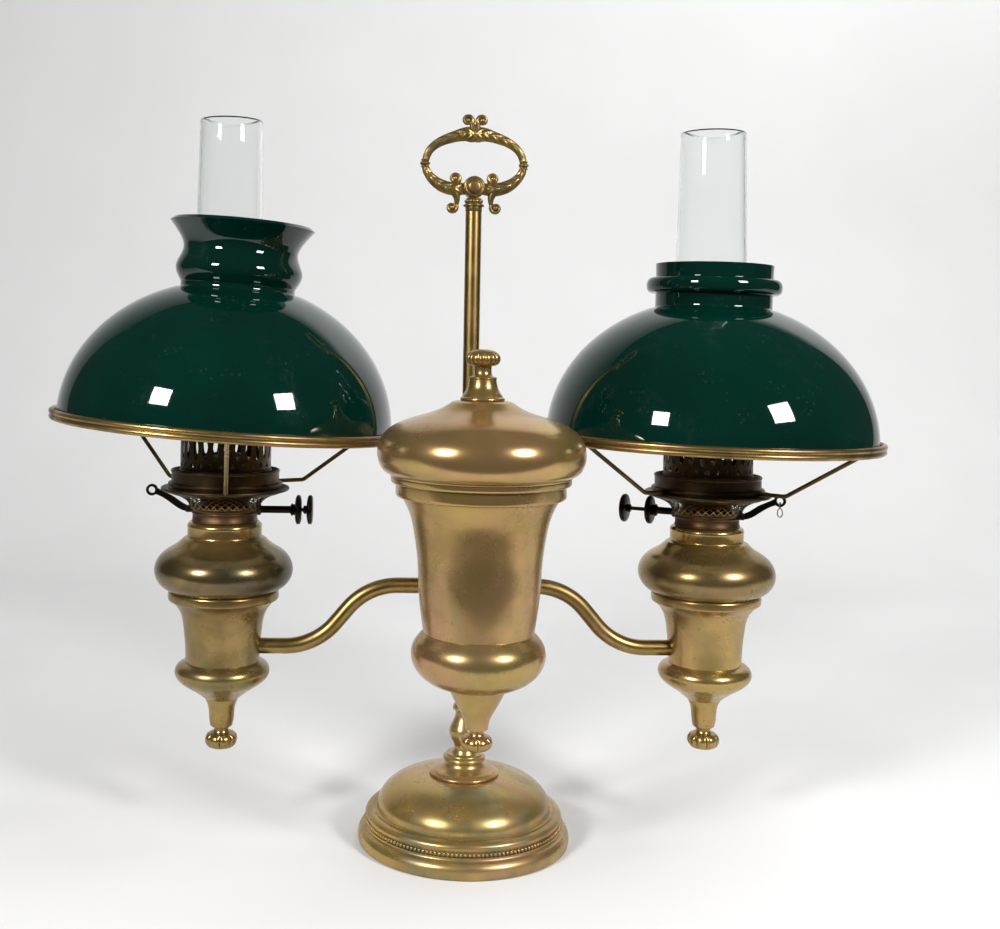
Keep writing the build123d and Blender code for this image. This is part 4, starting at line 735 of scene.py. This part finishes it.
def build_tank():
    """Tank body, drip bowl, flower knob, lid and ribbed finial."""
    sizes = bpy.context.scene.lamp_sizes
    outer = trace([
        [(39.0, 0.0), (41.1, 14.0), (42.9, 31.2), (43.9, 50.2), (46.1, 66.2), (50.5, 84.2), (55.6, 94.2)],
        [(55.6, 94.2), (56.6, 94.6)],
        [(56.6, 94.6), (59.4, 95.4), (60.0, 97.2)], [(60.0, 97.2), (60.0, 104.2)],
        [(60.0, 104.2), (63.0, 104.9), (63.5, 105.9)], [(63.5, 105.9), (63.5, 108.5)],
    ])
    inner = outer[::-1] * (1, 1) - (1.1, 0)
    inner = inner[inner[:, 1] > 5.1]
    profile = np.vstack([outer, inner, (38.2, 5.1), (0, 5.1)])
    profile = np.vstack([(0, 4.0), (37.9, 4.0), (37.9, 0.0), profile])
    spin("Tank.body", "tank_body", "tank_brass", "tank", TANK_SEAM, profile, 224, uneven(11, sizes.dents))
    bowl = closed(trace([
        [(8.0, -68.0), (9.0, -62.0), (12.6, -54.8), (17.4, -46.0), (20.4, -39.9)],
        [(20.4, -39.9), (20.9, -38.9)],
        [(20.9, -38.9), (28.0, -37.2), (36.0, -33.4), (43.5, -26.5), (47.3, -16.2), (45.6, -7.6), (39.9, -0.6)],
        [(39.9, -0.6), (39.0, 0.0)],
    ], 9))
    spin("Tank.bowl", "tank_bowl", "tank_brass", "tank", TANK_SEAM, bowl, 224, uneven(12, sizes.dents))
    flower("Tank.knob", "tank_drip_knob", "tank_brass", "tank", TANK_SEAM - 68.0, 11.4, 15.0, 5.0)
    lid = trace([
        [(62.6, 0.0), (63.9, 0.5), (64.2, 1.6)],
        [(64.2, 1.6), (68.6, 4.2), (72.4, 10.5), (73.4, 17.9), (69.0, 30.0), (57.0, 38.3), (39.0, 44.3),
         (29.5, 47.8), (21.6, 52.7)],
        [(21.6, 52.7), (18.6, 53.6), (16.0, LID_HEIGHT)], [(16.0, LID_HEIGHT), (6.0, LID_HEIGHT)],
    ], 9)
    spin("Lid.dome", "tank_lid", "tank_brass", "tank", LID_SEAT, thick(lid, 1.1), 256, uneven(13, sizes.dents))

    def rib_wave(a, z):
        share = np.clip((z - 24.8) / 1.5, 0, 1) * np.clip((35.0 - z) / 3.0, 0, 1)
        return 1 - 0.075 * share * (1 - np.abs(np.sin(sizes.ribs * a / 2)))**1.6

    spin("Lid.finial", "lid_finial", "tank_brass", "tank", LID_SEAT + LID_HEIGHT, closed(trace([
        [(15.0, 0.0), (15.7, 0.6), (15.5, 1.8), (14.4, 2.6)],
        [(14.4, 2.6), (13.9, 3.6), (11.4, 7.6), (9.9, 12.4), (9.6, 15.0)],
        [(9.6, 15.0), (9.9, 16.0), (8.6, 16.8)], [(8.6, 16.8), (7.2, 17.4), (6.0, 20.4), (6.2, 24.0)],
        [(6.2, 24.0), (8.0, 24.4), (11.4, 26.6), (12.2, 29.6), (10.8, 33.0), (6.6, 35.4), (0.2, 36.0)],
    ], 9)), 192, rib_wave, 50)


def build_founts():
    """The two oil founts with their bowls and drip knobs, and the arms that feed them."""
    sizes = bpy.context.scene.lamp_sizes
    body = closed(trace([
        [(28.2, 0.0), (28.7, 12.4), (30.0, 25.4), (31.9, 35.4), (36.3, 43.2), (40.6, 47.2)],
        [(40.6, 47.2), (41.6, 47.5), (42.2, 48.6)], [(42.2, 48.6), (42.3, 50.8), (42.2, 53.0)],
        [(42.2, 53.0), (41.6, 54.0), (40.8, 54.4)],
        [(40.8, 54.4), (47.4, 58.4), (51.5, 64.0), (52.8, 70.6), (51.0, 77.4), (44.8, 84.4), (37.1, 89.2),
         (31.6, 94.0)],
        [(31.6, 94.0), (30.4, 94.7)], [(30.4, 94.7), (28.7, 95.4), (28.3, 96.8)], [(28.3, 96.8), (28.3, 102.4)],
        [(28.3, 102.4), (28.5, 103.6), (28.0, 105.2), (26.5, 106.6)],
    ], 9))
    bowl = closed(trace([
        [(8.4, -50.0), (9.2, -46.4), (9.6, -41.6), (10.9, -33.4), (13.2, -28.6)],
        [(13.2, -28.6), (13.9, -28.2)],
        [(13.9, -28.2), (22.7, -21.6), (31.7, -15.6), (36.1, -8.2), (34.2, -3.2), (29.2, -0.5)],
        [(29.2, -0.5), (28.2, 0.0)],
    ], 9))
    for seed, side in enumerate(SIDES):
        slot = f"{side}_fount_brass"
        spin(f"Fount.{side}.body", f"{side}_fount_body", slot, side, FOUNT_SEAM, body, 192,
             uneven(20 + seed, sizes.dents))
        spin(f"Fount.{side}.bowl", f"{side}_fount_bowl", slot, side, FOUNT_SEAM, bowl, 192,
             uneven(30 + seed, sizes.dents))
        flower(f"Fount.{side}.knob", f"{side}_drip_knob", slot, side, FOUNT_SEAM - 50.0, 12.4, 17.0, 5.5)
        sign = SIDES[side]["sign"]
        run = ARM_DROP / np.tan(radians(50.0)) / 2
        path = rounded([(sign * 16.0, 0, ARM_HEIGHT), (sign * (97.0 - run), 0, ARM_HEIGHT),
                        (sign * (97.0 + run), 0, ARM_HEIGHT - ARM_DROP), (sign * 161.3, 0, ARM_HEIGHT - ARM_DROP)],
                       50.0, 36)
        Shape().add(tube(path, 12.0, (0, -1, 0), 40), (False, True)).make(
            f"Arm.{side}", "post_brass", [f"{side}_arm"])


def pierced_row(radius, wall, count, low, high, hole, phase):
    """A row of equal cells round a cylinder, each with a hole. Border and hole outline have the same number of
    points; the strip runs outer border, outer hole edge, inner hole edge, inner border, and is rolled round."""
    half, tall = pi * radius / count, (high - low) / 2
    across = np.linspace(-half, half, 9)[:-1]
    up = np.linspace(-tall, tall, 13)[:-1]
    border = np.vstack([np.stack([across, 0 * across - tall], 1), np.stack([0 * up + half, up], 1),
                        np.stack([-across, 0 * across + tall], 1), np.stack([0 * up - half, -up], 1)])
    aim = np.arctan2(border[:, 1] / tall, border[:, 0] / half)
    edge = hole(aim)
    cell = np.stack([border, edge, edge, border], 1)
    depth = np.array([0.0, 0.0, wall, wall])
    turn = (np.arange(count) + phase) * 2 * pi / count
    a = turn[:, None, None] + cell[None, ..., 0] / radius
    r = (radius - depth)[None, None, :]
    z = cell[None, ..., 1] + (low + high) / 2 + 0 * a
    return np.stack([r * np.cos(a), r * np.sin(a), z], -1)


def burner_place(side):
    x, y = AXES[side]
    return placed(x, y, FOUNT_TOP, SIDES[side]["winders"])


def build_burners():
    """Burner collar with its lattice basket, shade plate, pierced gallery, and the winders."""
    sizes = bpy.context.scene.lamp_sizes
    collar = closed(trace([
        [(24.0, 0.0), (25.0, 0.4), (25.1, 1.6), (24.7, 2.2)], [(24.7, 2.2), (24.7, 6.4)],
        [(24.7, 6.4), (25.3, 6.9), (25.4, 7.7), (24.8, 8.3)], [(24.8, 8.3), (24.9, 9.6), (26.2, 10.6)],
        [(26.2, 10.6), (26.9, 11.1), (26.7, 11.9), (25.9, 12.1)],
    ]))
    cone = trace([[(26.6, 11.4), (27.2, 13.8), (29.2, 16.6), (32.4, 18.9), (36.2, 20.8)]], 3)
    run = np.concatenate([[0], np.cumsum(np.linalg.norm(np.diff(cone, axis=0), axis=1))])
    corners = np.array([(-1, -1), (1, -1), (1, 1), (-1, 1)]) * (0.35, 0.42)
    plate = thick(trace([
        [(34.6, 20.9), (36.4, 21.0)], [(36.4, 21.0), (41.4, 22.2), (46.6, 24.6)],
        [(46.6, 24.6), (48.0, 24.4), (48.9, 25.3), (48.7, 26.5), (47.6, 27.0)],
        [(47.6, 27.0), (46.0, 26.8), (43.4, 26.2), (41.6, 26.2)], [(41.6, 26.2), (41.0, 26.8)],
        [(41.0, 26.8), (41.0, 38.2)], [(41.0, 38.2), (41.5, 39.0), (41.3, 40.1), (40.3, 40.4)],
    ]), 0.9)

    def slot_hole(a):
        s, c = np.sin(a), np.cos(a)
        return np.stack([2.2 * np.sign(c) * np.abs(c)**np.where(s > 0, 1.7, 0.9), 8.4 * s], 1)

    def trefoil(a):
        r = 1.7 * (1 + 0.32 * np.cos(3 * (a - pi / 2)))
        return np.stack([r * np.cos(a), r * np.sin(a)], 1)

    for side, facts in SIDES.items():
        place = burner_place(side)
        basket = Shape(place)
        basket.add(lathe(collar, 128), finish=1)
        for sense in (-1, 1):
            for k in range(sizes.ribbons):
                a = 2 * pi * k / sizes.ribbons + sense * 0.038 * run
                r = cone[:, None, 0] + corners[None, :, 0]
                b = a[:, None] + corners[None, :, 1] / cone[:, None, 0]
                z = cone[:, None, 1] - 0.5 * corners[None, :, 0]
                strip = np.stack([r * np.cos(b), r * np.sin(b), z + 0 * b], -1)
                ends = [np.repeat(strip[e].mean(0)[None, None], 4, 1) for e in (0, -1)]
                basket.add(np.concatenate([ends[0], strip, ends[1]]), (False, True), finish=2)
        for offset in (-2.8, 2.8):
            lug = np.array([[(x, offset + y, z) for y, z in ((-1, 7.2), (1, 7.2), (1, 11.8), (-1, 11.8))]
                            for x in (-23.6, -29.6)])
            ends = [np.repeat(lug[e].mean(0)[None, None], 4, 1) for e in (0, -1)]
            basket.add(np.concatenate([ends[0], lug, ends[1]]), (False, True))
        liner = np.array([(0.0, 12.0), (19.0, 12.0), (19.0, 20.4), (18.2, 20.4), (18.2, 12.6), (0.0, 12.6)])
        basket.add(lathe(liner, 96))
        boss = closed(np.array([(4.4, 23.4), (4.4, 26.8), (3.9, 27.6)]))
        basket.add(lathe(boss, 40), place=np.array(Matrix.Translation((0, 0, 9.4)) @ Matrix.Rotation(pi / 2, 4, "Y")))
        basket.make(f"Burner.{side}.basket", "burner_brass", [f"{side}_burner_base"],
                    ("collar_brass", "lattice_brass"), 45)

        Shape(place).add(lathe(plate, 160), (True, True)).make(
            f"Burner.{side}.plate", "burner_brass", [f"{side}_shade_plate"])

        gallery = Shape(place @ placed(z=GALLERY_FOOT))
        wall, segments = 0.8, sizes.slots * 8
        r = 34.5
        band_low = np.array([(r, 20.0), (r, 0.0), (r - wall, 0.0), (r - wall, 20.0)])
        band_high = np.array([(r - wall, 46.0), (r - wall, 50.0), (r, 50.0), (r, 46.0)])
        start = np.array(Matrix.Rotation(pi / sizes.slots, 4, "Z"))
        for profile in (band_low, band_high):
            gallery.add(lathe(profile, segments), (True, False), place=start)
        for cells in (pierced_row(r, wall, sizes.slots, 27.0, 46.0, slot_hole, 0.0),
                      pierced_row(r, wall, sizes.slots, 20.0, 27.0, trefoil, 0.5)):
            for cell in cells:
                gallery.add(cell, (True, False))
        shelf = np.array([(34.1, 16.5), (29.4, 16.5), (29.4, 17.3), (34.1, 17.3)])
        gallery.add(lathe(shelf, 96), (True, True))
        for rise in (18.6, 49.6):
            bead = np.array([(r + 0.1 + 0.6 * np.cos(t), rise + 0.6 * np.sin(t)) for t in np.arange(8) * pi / 4])
            gallery.add(lathe(bead, 120), (True, True))
        gallery.make(f"Burner.{side}.gallery", "burner_brass", [f"{side}_gallery"], crease=50)

        shaft = np.array(Matrix.Translation((0, 0, 9.4)) @ Matrix.Rotation(pi / 2, 4, "Y"))
        mill = lambda a, z: 1 + 0.006 * np.sin(64 * a)
        inner, outer = facts["knobs"]
        sleeve = closed(trace([
            [(4.8, 9.0), (4.8, 11.0)], [(4.8, 11.0), (2.8, 11.2)], [(2.8, 11.2), (2.8, inner - 6.4)],
            [(2.8, inner - 6.4), (3.8, inner - 5.9), (4.9, inner - 4.9), (4.2, inner - 3.9), (4.6, inner - 2.6)],
            [(4.6, inner - 2.6), (9.8, inner - 1.9), (11.1, inner - 1.0), (11.25, inner), (11.1, inner + 1.0),
             (9.8, inner + 1.9), (4.4, inner + 2.3)],
        ], 5))
        Shape(place).add(lathe(sleeve, 128, mill), place=shaft).make(
            f"Winder.{side}.sleeve", "dark_brass", [f"{side}_winder_sleeve"], crease=45)
        rod = closed(trace([
            [(1.5, -8.0), (1.5, -6.0)], [(1.5, -6.0), (4.8, -5.9)], [(4.8, -5.9), (4.8, -4.0)],
            [(4.8, -4.0), (1.5, -3.9)], [(1.5, -3.9), (1.5, outer - 5.4)],
            [(1.5, outer - 5.4), (3.1, outer - 4.8), (3.0, outer - 2.8)],
            [(3.0, outer - 2.8), (9.6, outer - 1.9), (11.1, outer - 1.0), (11.25, outer), (11.1, outer + 1.0),
             (9.6, outer + 1.9), (6.0, outer + 2.0), (3.4, outer + 1.4), (0.3, outer + 1.2)],
        ], 5))
        Shape(place).add(lathe(rod, 128, mill), place=shaft).make(
            f"Winder.{side}.rod", "dark_brass", [f"{side}_winder_rod"], crease=45)


def build_wicks():
    """Flat cotton wicks: a section with round edges carried up the tube, uneven at its burnt top."""
    for side in SIDES:
        for name, offset, seed in (("sleeve_wick", -7.0, 1), ("rod_wick", 7.0, 2)):
            b = np.linspace(0, 2 * pi, 72, endpoint=False)
            x = 11.6 * np.sign(np.cos(b)) * np.abs(np.cos(b))**0.35
            y = 1.12 * np.sin(b)
            z = np.concatenate([np.linspace(-39.5, 44.6, 60), [45.2, 45.5]])
            narrow = np.concatenate([np.ones(60), [0.97, 0.0]])
            wobble = 0.35 * np.sin(1.3 * x + seed) * (z[:, None] > 43) - 0.5 * np.abs(np.sin(0.7 * x + 2 * seed)) * (
                z[:, None] > 44)
            ribs = 1 + 0.05 * np.sin(2.2 * z)[:, None] * np.ones_like(b)
            grid = np.stack([x * np.maximum(narrow[:, None], 0.0) + 0 * wobble, offset + y * narrow[:, None] * ribs,
                             z[:, None] + np.minimum(wobble, 0)], -1)
            foot = grid[:1] * (0, 0, 1) + np.array((0, offset, 0))
            Shape(burner_place(side)).add(np.concatenate([foot, grid]), (False, True)).make(
                f"Wick.{side}.{name}", "wick", [f"{side}_{name}"], crease=60)


def build_shades():
    """Shade rings with their bent arms, cased glass shades and chimneys."""
    lip = 130.1
    low = [(129.7 + 2.2 * np.cos(a), -2.0 + 2.2 * np.sin(a)) for a in np.radians(np.linspace(190, 412, 22))]
    high = [(lip + 2.2 * np.cos(a), 1.9 + 2.2 * np.sin(a)) for a in np.radians(np.linspace(-48, 214, 24))]
    ring_profile = np.array([(121.5, -1.4), (127.4, -1.4), *low, *high, (127.6, 0.0), (121.5, 0.0)])
    for side, facts in SIDES.items():
        x, y = AXES[side]
        tilt, sign = facts["tilt"], facts["sign"]
        ring_place = placed(x, y, FOUNT_TOP + facts["ring_rise"], 0, tilt)
        ring = Shape()
        ring.add(lathe(ring_profile, 256), (True, True), place=ring_place)
        hub = np.array([(41.2, 28.0), (43.4, 28.2), (43.6, 29.3), (43.4, 30.4), (41.2, 30.6)])
        here = placed(x, y, FOUNT_TOP)
        ring.add(lathe(hub, 128), (True, True), place=here, finish=2)
        for angle in facts["ring_arms"]:
            reach = 124.5
            end_rise = facts["ring_rise"] - reach * np.cos(radians(angle)) * np.tan(radians(tilt)) - 2.2
            path = rounded([(42.6, 0, 29.3), (66.0, 0, 29.3), (reach, 0, end_rise)], 6.0, 10)
            spoke = here @ placed(turn=angle)
            # Finish 1 is the darker copy: painted shade on the arms under the dome; the left front arm keeps the lit
            # ring brass
            ring.add(tube(path, 3.2, (0, 1, 0), 16), (False, True), place=spoke,
                     finish=int(angle > 0 or side == "right"))
            pad = ball((reach + 0.6, 0, end_rise), 1.0, 8, 16, (1, 1, 1)) - (reach + 0.6, 0, end_rise)
            ring.add(pad * (3.2, 3.0, 1.5) + (reach + 0.6, 0, end_rise + 0.2), place=spoke)
        ring.make(f"Ring.{side}", "ring_brass", [f"{side}_shade_ring"], ("shaded_arm_brass", "burner_brass"), crease=35)

        foot = np.arcsin(102.0 / 110.0)
        dome = np.stack([127.0 * np.cos(np.linspace(0, foot, 48)), 110.0 * np.sin(np.linspace(0, foot, 48))], 1)
        neck = trace([[(r, 102.0 + z) for r, z in points] for points in facts["neck"]], 9)
        step = through([tuple(dome[-1]), (neck[0, 0] + 0.6, 102.6), tuple(neck[0])], 4)
        outer = np.vstack([dome, step[1:-1], neck])
        profile = thick(outer, 3.5)
        profile[len(outer):, 0] = np.maximum(profile[len(outer):, 0], 28.0)
        edge = len(outer)
        finishes = np.zeros((192, len(profile)), int)
        finishes[:, edge:] = 1
        shade = Shape(placed(x, y, FOUNT_TOP + facts["ring_rise"], 0, tilt) @ placed(z=SHADE_GAP))
        shade.add(lathe(profile, 192), (True, True), finish=finishes.reshape(-1))
        shade.make(f"Shade.{side}", "shade_glass", [f"{side}_shade"], ("shade_lining",), 45)

        waist, top = facts["chimney"]
        outline = trace([
            [(31.4, 0.0), (32.6, 1.2)], [(32.6, 1.2), (32.6, 12.0)],
            [(32.6, 12.0), (31.4, 35.0), (waist + 2.6, 91.5), (waist, 169.5), (top, 268.4)],
            [(top, 268.4), (top - 0.4, 269.0)],
        ], 12)
        Shape(placed(x, y, FOUNT_TOP + CHIMNEY_SEAT + 0.1)).add(
            lathe(thick(outline, 1.8), 128), (True, True)).make(
            f"Chimney.{side}", "chimney_glass", [f"{side}_chimney"], crease=60)


def build_link():
    """The wire link in the right lever's eye: a ring through the eye and a longer loop below it."""
    low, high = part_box("right_chain_link")
    centre = (np.array(low) + np.array(high)) / 2 / MM
    top = high[2] / MM
    turn = radians(SIDES["right"]["winders"] + 180)
    out = np.array((np.cos(turn), np.sin(turn), 0.0))
    cross = np.array((-np.sin(turn), np.cos(turn), 0.0))
    a = np.linspace(0, 2 * pi, 40, endpoint=False)[:, None]
    up = np.array((0, 0, 1.0))
    shape = Shape()
    ring_centre = np.array((centre[0], centre[1], top - 2.75))
    ring = ring_centre + 2.3 * (np.cos(a) * up + np.sin(a) * cross)
    loop_centre = ring_centre - up * (2.3 + 3.25)
    loop = loop_centre + 1.91 * np.cos(a) * out + 3.25 * np.sin(a) * up
    for path, normal in ((ring, out), (loop, cross)):
        shape.add(tube(path, 0.85, normal, 10)[1:-1], (True, True))
    shape.make("Link.right", "link_wire", ["right_chain_link"], crease=60)


def finish_nodes():
    """Materials for the nodes that stay as they are."""
    kept = {
        "base_weight": "base_weight", "base_felt": "felt", "base_nut": "steel", "stop_collar": "post_brass",
        "clamp_screw": "post_brass", "yoke": "post_brass", "upper_guide": "post_brass", "oil_bottle": "tinplate",
        "bottle_valve": "steel",
    }
    for side in SIDES:
        kept |= {f"{side}_wick_cone": "burner_brass", f"{side}_wick_tubes": "burner_brass",
                 f"{side}_extinguisher": "burner_brass", f"{side}_extinguisher_lever": "dark_brass"}
    for name, slot in kept.items():
        mesh = frame["nodes"][name].data
        mesh.materials.clear()
        mesh.materials.append(finish(slot))
    left = [n for n, o in frame["nodes"].items() if n not in kept and not o.hide_render]
    if left:
        raise RuntimeError(f"no finish for {left}")


# ---- Studio

def soft_light(name, place, target, size, power, colour=(1, 1, 1), mirrored=True):
    light = bpy.data.lights.new(name, "AREA")
    light.shape = "RECTANGLE"
    light.size, light.size_y = size
    light.energy = power
    light.color = colour
    lamp = bpy.data.objects.new(name, light)
    aim = np.asarray(target, float) - np.asarray(place, float)
    back = -aim / np.linalg.norm(aim)
    right = np.cross((0, 0, 1), back)
    right /= np.linalg.norm(right)
    up = np.cross(back, right)
    lamp.matrix_world = Matrix([[right[k], up[k], back[k], place[k]] for k in range(3)] + [[0, 0, 0, 1]])
    lamp.visible_glossy = mirrored
    lamp.visible_camera = False
    bpy.context.scene.collection.objects.link(lamp)
    return lamp


def build_studio():
    """Seamless pale paper, a large soft light, two small soft boxes, a grey room and the camera."""
    scene = bpy.context.scene
    look = scene.studio
    half, back, depth, bend = 2.6, 1.7, 0.45, 0.7
    a = np.linspace(0, pi / 2, 24)
    y = np.concatenate([[-depth], back - bend + bend * np.sin(a), [back]])
    z = np.concatenate([[0.0], bend - bend * np.cos(a), [3.0]])
    across = np.linspace(-half, half, 9)
    grid = np.stack([across[None, :] + 0 * y[:, None], y[:, None] + 0 * across, z[:, None] + 0 * across], -1)
    mesh = bpy.data.meshes.new("Paper")
    faces = grid_faces(len(y), len(across), False, False)[:, ::-1]
    mesh.from_pydata(grid.reshape(-1, 3).tolist(), [], faces.tolist())
    mesh.shade_smooth()
    paper = bpy.data.objects.new("Paper", mesh)
    scene.collection.objects.link(paper)
    tree, shader, vector = new_material("paper")
    mottle = noise(tree, vector, 3.0, 3.0)
    tree.links.new(blend(tree, band(tree, mottle, 0.3, 0.7), look.backdrop, [c * 0.97 for c in look.backdrop]),
                   shader.inputs["Base Color"])
    shader.inputs["Roughness"].default_value = 0.9
    mesh.materials.append(finish("paper"))

    world = bpy.data.worlds.new("Room")
    world.use_nodes = True
    world.node_tree.nodes["Background"].inputs["Color"].default_value = (0.045, 0.043, 0.040, 1)
    scene.world = world
    target = (0.0, 0.0, 0.28)
    soft_light("Key", (1.1, -0.5, 2.5), target, (1.8, 1.6), look.key, mirrored=False)
    soft_light("Fill", (-1.3, -0.9, 2.0), target, (1.4, 1.4), look.key * 0.45, mirrored=False)
    soft_light("Backdrop light", (1.3, 0.6, 2.2), (0.9, 1.7, 0.9), (2.2, 0.6), look.key * 1.4, mirrored=False)
    soft_light("Box left", (-1.15, -1.2, 1.0), target, (0.36, 0.36), look.boxes)
    soft_light("Box right", (1.05, -1.2, 1.05), target, (0.40, 0.40), look.boxes)

    camera = bpy.data.cameras.new("Camera")
    camera.sensor_width = 36.0
    camera.lens = look.lens
    camera.shift_x, camera.shift_y = look.shift
    camera.clip_start, camera.clip_end = 0.05, 20.0
    view = bpy.data.objects.new("Camera", camera)
    right = np.array((np.cos(look.turn), np.sin(look.turn), 0.0))
    ahead = np.array((-np.sin(look.turn), np.cos(look.turn), 0.0))
    up = np.array((0, 0, 1.0))
    x_axis = right * np.cos(look.roll) + up * np.sin(look.roll)
    y_axis = -right * np.sin(look.roll) + up * np.cos(look.roll)
    view.matrix_world = Matrix([[x_axis[k], y_axis[k], -ahead[k], look.place[k]] for k in range(3)] + [[0, 0, 0, 1]])
    scene.collection.objects.link(view)
    scene.camera = view
    scene.view_settings.view_transform = "Standard"


# ---- Operators, panel and registration

def operator(name, label, text, *steps):
    """An operator class that runs the steps; a step that fails raises and stops the script."""
    def execute(self, context):
        for step in steps:
            step()
        return {"FINISHED"}
    return type(f"LAMP_OT_{name}", (Operator,), {"bl_idname": f"lamp.{name}", "bl_label": label, "__doc__": text,
                                                 "bl_options": {"REGISTER"}, "execute": execute})


OPERATORS = (
    operator("materials", "Materials", "Make the shared node groups and one material for each finish", build_groups,
             build_materials),
    operator("base", "Base and post", "Build base, beads, collar, stem and post", build_base),
    operator("handle", "Handle", "Build the cast handle with its boss and ferrule", build_handle),
    operator("tank", "Tank", "Build tank, drip bowl, knob, lid and finial", build_tank),
    operator("founts", "Founts and arms", "Build the founts, their bowls and knobs, and the arms", build_founts),
    operator("burners", "Burners", "Build baskets, plates, galleries and winders", build_burners),
    operator("wicks", "Wicks", "Build the four flat wicks", build_wicks),
    operator("shades", "Shades", "Build shade rings, glass shades and chimneys", build_shades),
    operator("link", "Wire link", "Build the wire link on the right lever", build_link),
    operator("nodes", "Plain nodes", "Give the remaining nodes their finishes", finish_nodes),
    operator("studio", "Studio", "Build backdrop, lights and camera", build_studio),
)


class LAMP_PT_panel(Panel):
    bl_idname = "LAMP_PT_panel"
    bl_label = "Double student lamp"
    bl_space_type = "VIEW_3D"
    bl_region_type = "UI"
    bl_category = "Lamp"

    def draw(self, context):
        for group in (context.scene.lamp_sizes, context.scene.lamp_finish, context.scene.studio):
            box = self.layout.box()
            for key in group.bl_rna.properties.keys():
                if key not in {"rna_type", "name"}:
                    box.prop(group, key)
        for made in OPERATORS:
            self.layout.operator(made.bl_idname)


GROUPS = (("lamp_sizes", LampSizes), ("lamp_finish", LampFinish), ("studio", StudioSettings))


def register():
    for name, group in GROUPS:
        bpy.utils.register_class(group)
        setattr(bpy.types.Scene, name, PointerProperty(type=group))
    for made in (*OPERATORS, LAMP_PT_panel):
        bpy.utils.register_class(made)


def unregister():
    for made in (LAMP_PT_panel, *reversed(OPERATORS)):
        bpy.utils.unregister_class(made)
    for name, group in reversed(GROUPS):
        delattr(bpy.types.Scene, name)
        bpy.utils.unregister_class(group)


def main():
    register()
    for made in OPERATORS:
        part, action = made.bl_idname.split(".")
        getattr(getattr(bpy.ops, part), action)()


if __name__ == "__main__":
    main()
